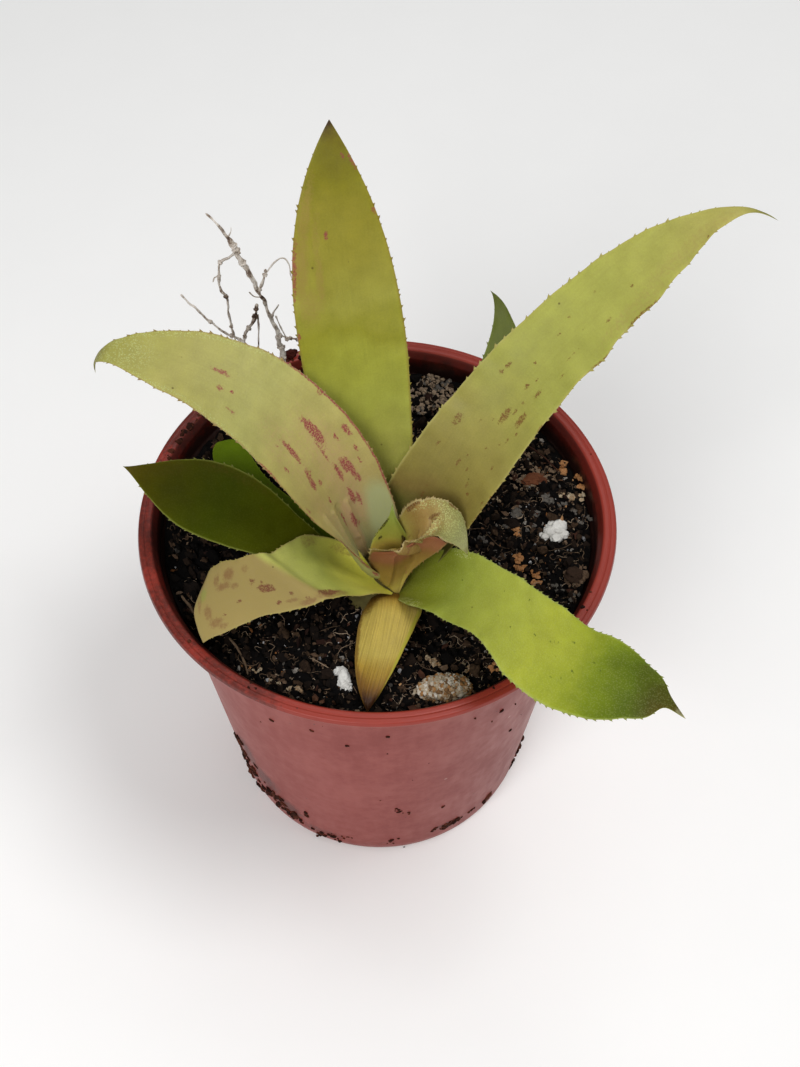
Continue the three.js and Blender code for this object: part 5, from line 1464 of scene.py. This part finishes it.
class MixSettings(bpy.types.PropertyGroup):
    crumbs: IntProperty(name="Crumbs", description="Dark crumbs on the mix", default=4200, min=0,
                        max=6000)
    bark: IntProperty(name="Bark", description="Chips of bark on the mix", default=130, min=0,
                      max=1000)
    fibres: IntProperty(name="Fibres", description="Short fibres on the mix", default=1500, min=0,
                        max=3000)
    perlite: IntProperty(name="Perlite", description="Small white grains on the mix", default=220,
                         min=0, max=500)


class StageSettings(bpy.types.PropertyGroup):
    floor: FloatVectorProperty(name="Floor", description="Colour of the floor", subtype="COLOR",
                               size=3, default=linear("f8f8f7"))
    key: FloatProperty(name="Key light", description="Power of the main soft light", default=6.0,
                       unit="POWER")
    front: FloatProperty(name="Front light", description="Power of the soft light at the left front",
                         default=7.0, unit="POWER")
    back: FloatProperty(name="Back light", description="Power of the soft light above the back",
                        default=1.6, unit="POWER")
    sky: FloatProperty(name="Sky", description="Strength of the even light all round", default=0.27,
                       min=0.0)


SETTINGS = {"bromeliad_pot": PotSettings, "bromeliad_plant": PlantSettings,
            "bromeliad_mix": MixSettings, "bromeliad_stage": StageSettings}


# ---- operators ----------------------------------------------------------------------------------
class BROMELIAD_OT_stage(bpy.types.Operator):
    """Adds the floor, the soft lights and the camera"""
    bl_idname = "bromeliad.stage"
    bl_label = "Stage"

    def execute(self, context):
        looks = context.scene.bromeliad_stage
        # Painted board: matt, its tone shifting by 1 % in patches 25 mm across.
        made, tree, shader = material("studio_floor", Roughness=0.9, Specular_IOR_Level=0.1)
        way = add(tree, "TexCoord")["Object"]
        grain = add(tree, "TexNoise", {"Vector": way, "Scale": 40})[0]
        tone = add(tree, "MapRange", {0: grain, 3: 0.99, 4: 1.01})[0]
        feed(shader, {"Base Color": add(tree, "VectorMath", {0: looks.floor, "Scale": tone},
                                        operation="SCALE")[0]})
        x, y = np.meshgrid(*[np.linspace(-FLOOR_HALF, FLOOR_HALF, 9)] * 2)
        part = grid(np.stack([x, y, 0 * x - FLOOR_DROP], -1))
        mesh = bpy.data.meshes.new("floor")
        mesh.from_pydata((part["points"] * MM).tolist(), [], part["faces"].tolist())
        mesh.materials.append(made)
        floor = shown("floor", mesh)
        world = bpy.data.worlds.new("studio")
        world.use_nodes = True
        feed(world.node_tree.nodes["Background"], {"Color": (1, 1, 1, 1), "Strength": looks.sky})
        context.scene.world = world
        for name, (spot, size) in LAMPS.items():
            lamp = bpy.data.lights.new(name, "AREA")
            lamp.shape, lamp.size, lamp.energy = "DISK", size, getattr(looks, name)
            holder = shown(name, lamp)
            away = unit(np.array(spot) - np.array(LIT))
            holder.location = spot
            holder.rotation_euler = (math.acos(away[2]), 0, math.atan2(away[0], -away[1]))
        lens = bpy.data.cameras.new("camera")
        lens.lens, lens.sensor_width = FOCAL / FRAME_HIGH * SENSOR, SENSOR
        lens.clip_start, lens.clip_end = 0.01, 20.0
        camera = shown("camera", lens)
        camera.location = CAMERA_AT
        camera.rotation_euler = (math.radians(90 - CAMERA_DIP), 0, 0)
        context.view_layer.update()
        roll = Matrix.Rotation(math.radians(CAMERA_ROLL), 4, "Z")
        camera.matrix_world = camera.matrix_world @ roll
        context.scene.camera = camera
        context.scene.view_settings.view_transform = "Standard"
        return {"FINISHED"}


class BROMELIAD_OT_pot(bpy.types.Operator):
    """Adds the moulded nursery pot with its lip, foot ring and drain holes, and the soil on it"""
    bl_idname = "bromeliad.pot"
    bl_label = "Pot"

    def execute(self, context):
        looks = context.scene.bromeliad_pot
        part = outward(welded(pot_part(looks.segments)))
        place("nursery_pot", part, pot_material(looks), ("pot",), 50)
        place("pot_dirt", wall_dirt(80), crumb_material("dried_soil"))
        return {"FINISHED"}


class BROMELIAD_OT_mix(bpy.types.Operator):
    """Adds the potting mix with its crumbs, bark, fibres and grains"""
    bl_idname = "bromeliad.mix"
    bl_label = "Potting mix"

    def execute(self, context):
        looks = context.scene.bromeliad_mix
        place("mix_bed", soil_part(), crumb_material("peat"), ("soil",))
        strewn = (
            ("mix_crumbs", "peat", "potting_mix", (
                crumbs(21, looks.crumbs, 0.35, 1.4), crumbs(22, looks.crumbs // 11, 0.9, 2.2, level=1))),
            ("mix_mould", "leaf_mould", "potting_mix", (
                crumbs(24, looks.crumbs // 3, 0.3, 1.1, shape=(1.0, 0.65, 0.4), rough=0.35, lean=0.55),)),
            ("mix_bark", "pine_bark", "bark", (
                crumbs(31, looks.bark, 0.8, 2.4, shape=(1.0, 0.6, 0.25), sunk=0.1),
                crumbs(32, looks.bark // 2, 0.6, 1.5, shape=(1.0, 0.8, 0.6), sunk=0.1, lean=0.6))),
            ("mix_fibres", "coir", "straw", (
                fibre_bits(41, looks.fibres, 1.0, 3.8, radius=0.09, curl=1.8, hump=0.8, lean=0.9),
                fibre_bits(42, looks.fibres // 16, 5.0, 12.0, radius=0.1, curl=0.7, hump=1.4))),
            ("mix_perlite", "perlite_chips", "perlite", (
                crumbs(51, looks.perlite, 0.2, 0.75, sunk=0.1, lean=0.6),)),
        )
        for name, look, slot, parts in strewn:
            place(name, joined(parts), crumb_material(look))
        return {"FINISHED"}


class BROMELIAD_OT_grains(bpy.types.Operator):
    """Adds the larger grains and the heaps of grit that lie on the mix, and the crumb on the rim"""
    bl_idname = "bromeliad.grains"
    bl_label = "Grains"

    def execute(self, context):
        for i, (node, look, slot, rough, rows) in enumerate(GRAINS):
            part = lumps_at(60 + 40 * i, rows, level=3 if len(rows) < 8 else 2, rough=rough, sunk=0.3)
            place(f"{node}_piece", part, crumb_material(look), (node,))
        stone = crusted_stone(64, 16.4, -46.4, (6.4, 3.5, 2.3), 6, 520, 0.42)
        place("pumice_front_piece", stone, crumb_material("pumice_grit"), ("pumice_front",))
        clay = [*heaps(300, (1.1, 1.3), 0.6, CLAY_HEAPS), (46.9, 2.6, 0.5, 0.45, 2.3, 0, 0.9)]
        # Pale bits of leaf litter in two heaps; the one at the back (14, 46) is pale partly as painted
        # light on the back of the mix, which lies in the leaves' shade.
        litter_and_light = (heap(390, 14, 46, (7, 6), 170, 0.55, 0.75) + heap(391, 40, 20, (7, 6), 90, 0.5, 0.6))
        strewn = (
            ("mix_clay", "clay_grit", "pumice", (
                lumps_at(70, clay), crumbs(27, 150, 0.25, 0.7, rough=0.4, lean=1.0))),
            ("mix_grit", "pumice_grit", "pumice", (
                lumps_at(71, heaps(330, (1.2, 1.2), 0.55, PALE_HEAPS)),)),
            ("mix_leaf_bits", "coir", "potting_mix", (lumps_at(73, litter_and_light, level=0, sunk=0.2),)),
            ("mix_grey_grit", "stone_grit", "perlite", (
                lumps_at(72, heaps(360, (1.6, 1.3), 0.4, GREY_HEAPS), sunk=0.3),
                crumbs(26, 380, 0.25, 0.85, rough=0.4, lean=1.0))),
        )
        for name, look, slot, parts in strewn:
            place(name, joined(parts), crumb_material(look), sharp=25)
        rim = lumps_at(470, RIM_CRUMB, level=3, rough=0.14, sunk=0.45)
        rim["points"][:, 2] += POT_HEIGHT + RIM_GAP - rim["points"][:, 2].min()
        place("rim_crumb_piece", rim, crumb_material("red_bark"), ("rim_crumb",))
        return {"FINISHED"}


class BROMELIAD_OT_leaves(bpy.types.Operator):
    """Adds the eleven leaves with their teeth and markings"""
    bl_idname = "bromeliad.leaves"
    bl_label = "Leaves"

    def execute(self, context):
        size = context.scene.bromeliad_plant.tooth
        for i, (name, leaf) in enumerate(LEAVES.items()):
            seed = 100 + 10 * i
            parts = [leaf_blade(leaf, seed)]
            if leaf["teeth"] and size:
                parts += leaf_teeth(leaf, seed, size)
            place(f"{name}_blade", joined(parts), leaf_material(f"{name}_skin", leaf),
                  () if "node" in leaf else (name,))
        return {"FINISHED"}


class BROMELIAD_OT_stem(bpy.types.Operator):
    """Adds the short stem in its packed sheath bases"""
    bl_idname = "bromeliad.stem"
    bl_label = "Stem"

    def execute(self, context):
        place("stem_core", stem_part(), crumb_material("stem_sheaths"), ("stem",))
        return {"FINISHED"}


class BROMELIAD_OT_roots(bpy.types.Operator):
    """Adds the dry roots at the back and the loose fibres on the mix"""
    bl_idname = "bromeliad.roots"
    bl_label = "Roots and fibres"

    def execute(self, context):
        parts = [strand(through, radius, ROOT_SEED + i, taper, 0.25, 8, ROOT_STEP, tones)
                 for i, (radius, taper, tones, through) in enumerate(ROOTS)]
        place("dry_root_cluster", joined([*parts, knot_part(230)]), root_material(),
              ("dry_roots",))
        for i, (node, look, slot, radius, start, end) in enumerate(LOOSE_FIBRES):
            t = np.linspace(0, 1, 5)
            x = start[0] + (end[0] - start[0]) * t + 0.8 * np.sin(math.pi * t)
            y = start[1] + (end[1] - start[1]) * t
            z = soil_top(x, y) + radius + SEAT + 0.5
            part = strand(np.stack([x, y, z], -1), radius, 220 + i)
            place(f"{node}_piece", part, crumb_material(look), (node,))
        return {"FINISHED"}


class BROMELIAD_PT_panel(bpy.types.Panel):
    """Lists the builders and their settings"""
    bl_label = "Bromeliad"
    bl_idname = "BROMELIAD_PT_panel"
    bl_space_type = "VIEW_3D"
    bl_region_type = "UI"
    bl_category = "Bromeliad"

    def draw(self, context):
        for key, group in SETTINGS.items():
            box = self.layout.box()
            for prop in group.__annotations__:
                box.prop(getattr(context.scene, key), prop)
        for operator in BUILDERS:
            self.layout.operator(operator.bl_idname)


BUILDERS = (BROMELIAD_OT_stage, BROMELIAD_OT_pot, BROMELIAD_OT_mix, BROMELIAD_OT_grains,
            BROMELIAD_OT_leaves, BROMELIAD_OT_stem, BROMELIAD_OT_roots)
CLASSES = (*SETTINGS.values(), *BUILDERS, BROMELIAD_PT_panel)


def register():
    for cls in CLASSES:
        bpy.utils.register_class(cls)
    for key, group in SETTINGS.items():
        setattr(bpy.types.Scene, key, PointerProperty(type=group))


def unregister():
    for key in SETTINGS:
        delattr(bpy.types.Scene, key)
    for cls in reversed(CLASSES):
        bpy.utils.unregister_class(cls)


def main():
    register()
    bpy.ops.bromeliad.stage()
    bpy.ops.bromeliad.pot()
    bpy.ops.bromeliad.mix()
    bpy.ops.bromeliad.grains()
    bpy.ops.bromeliad.leaves()
    bpy.ops.bromeliad.stem()
    bpy.ops.bromeliad.roots()


if __name__ == "__main__":
    main()
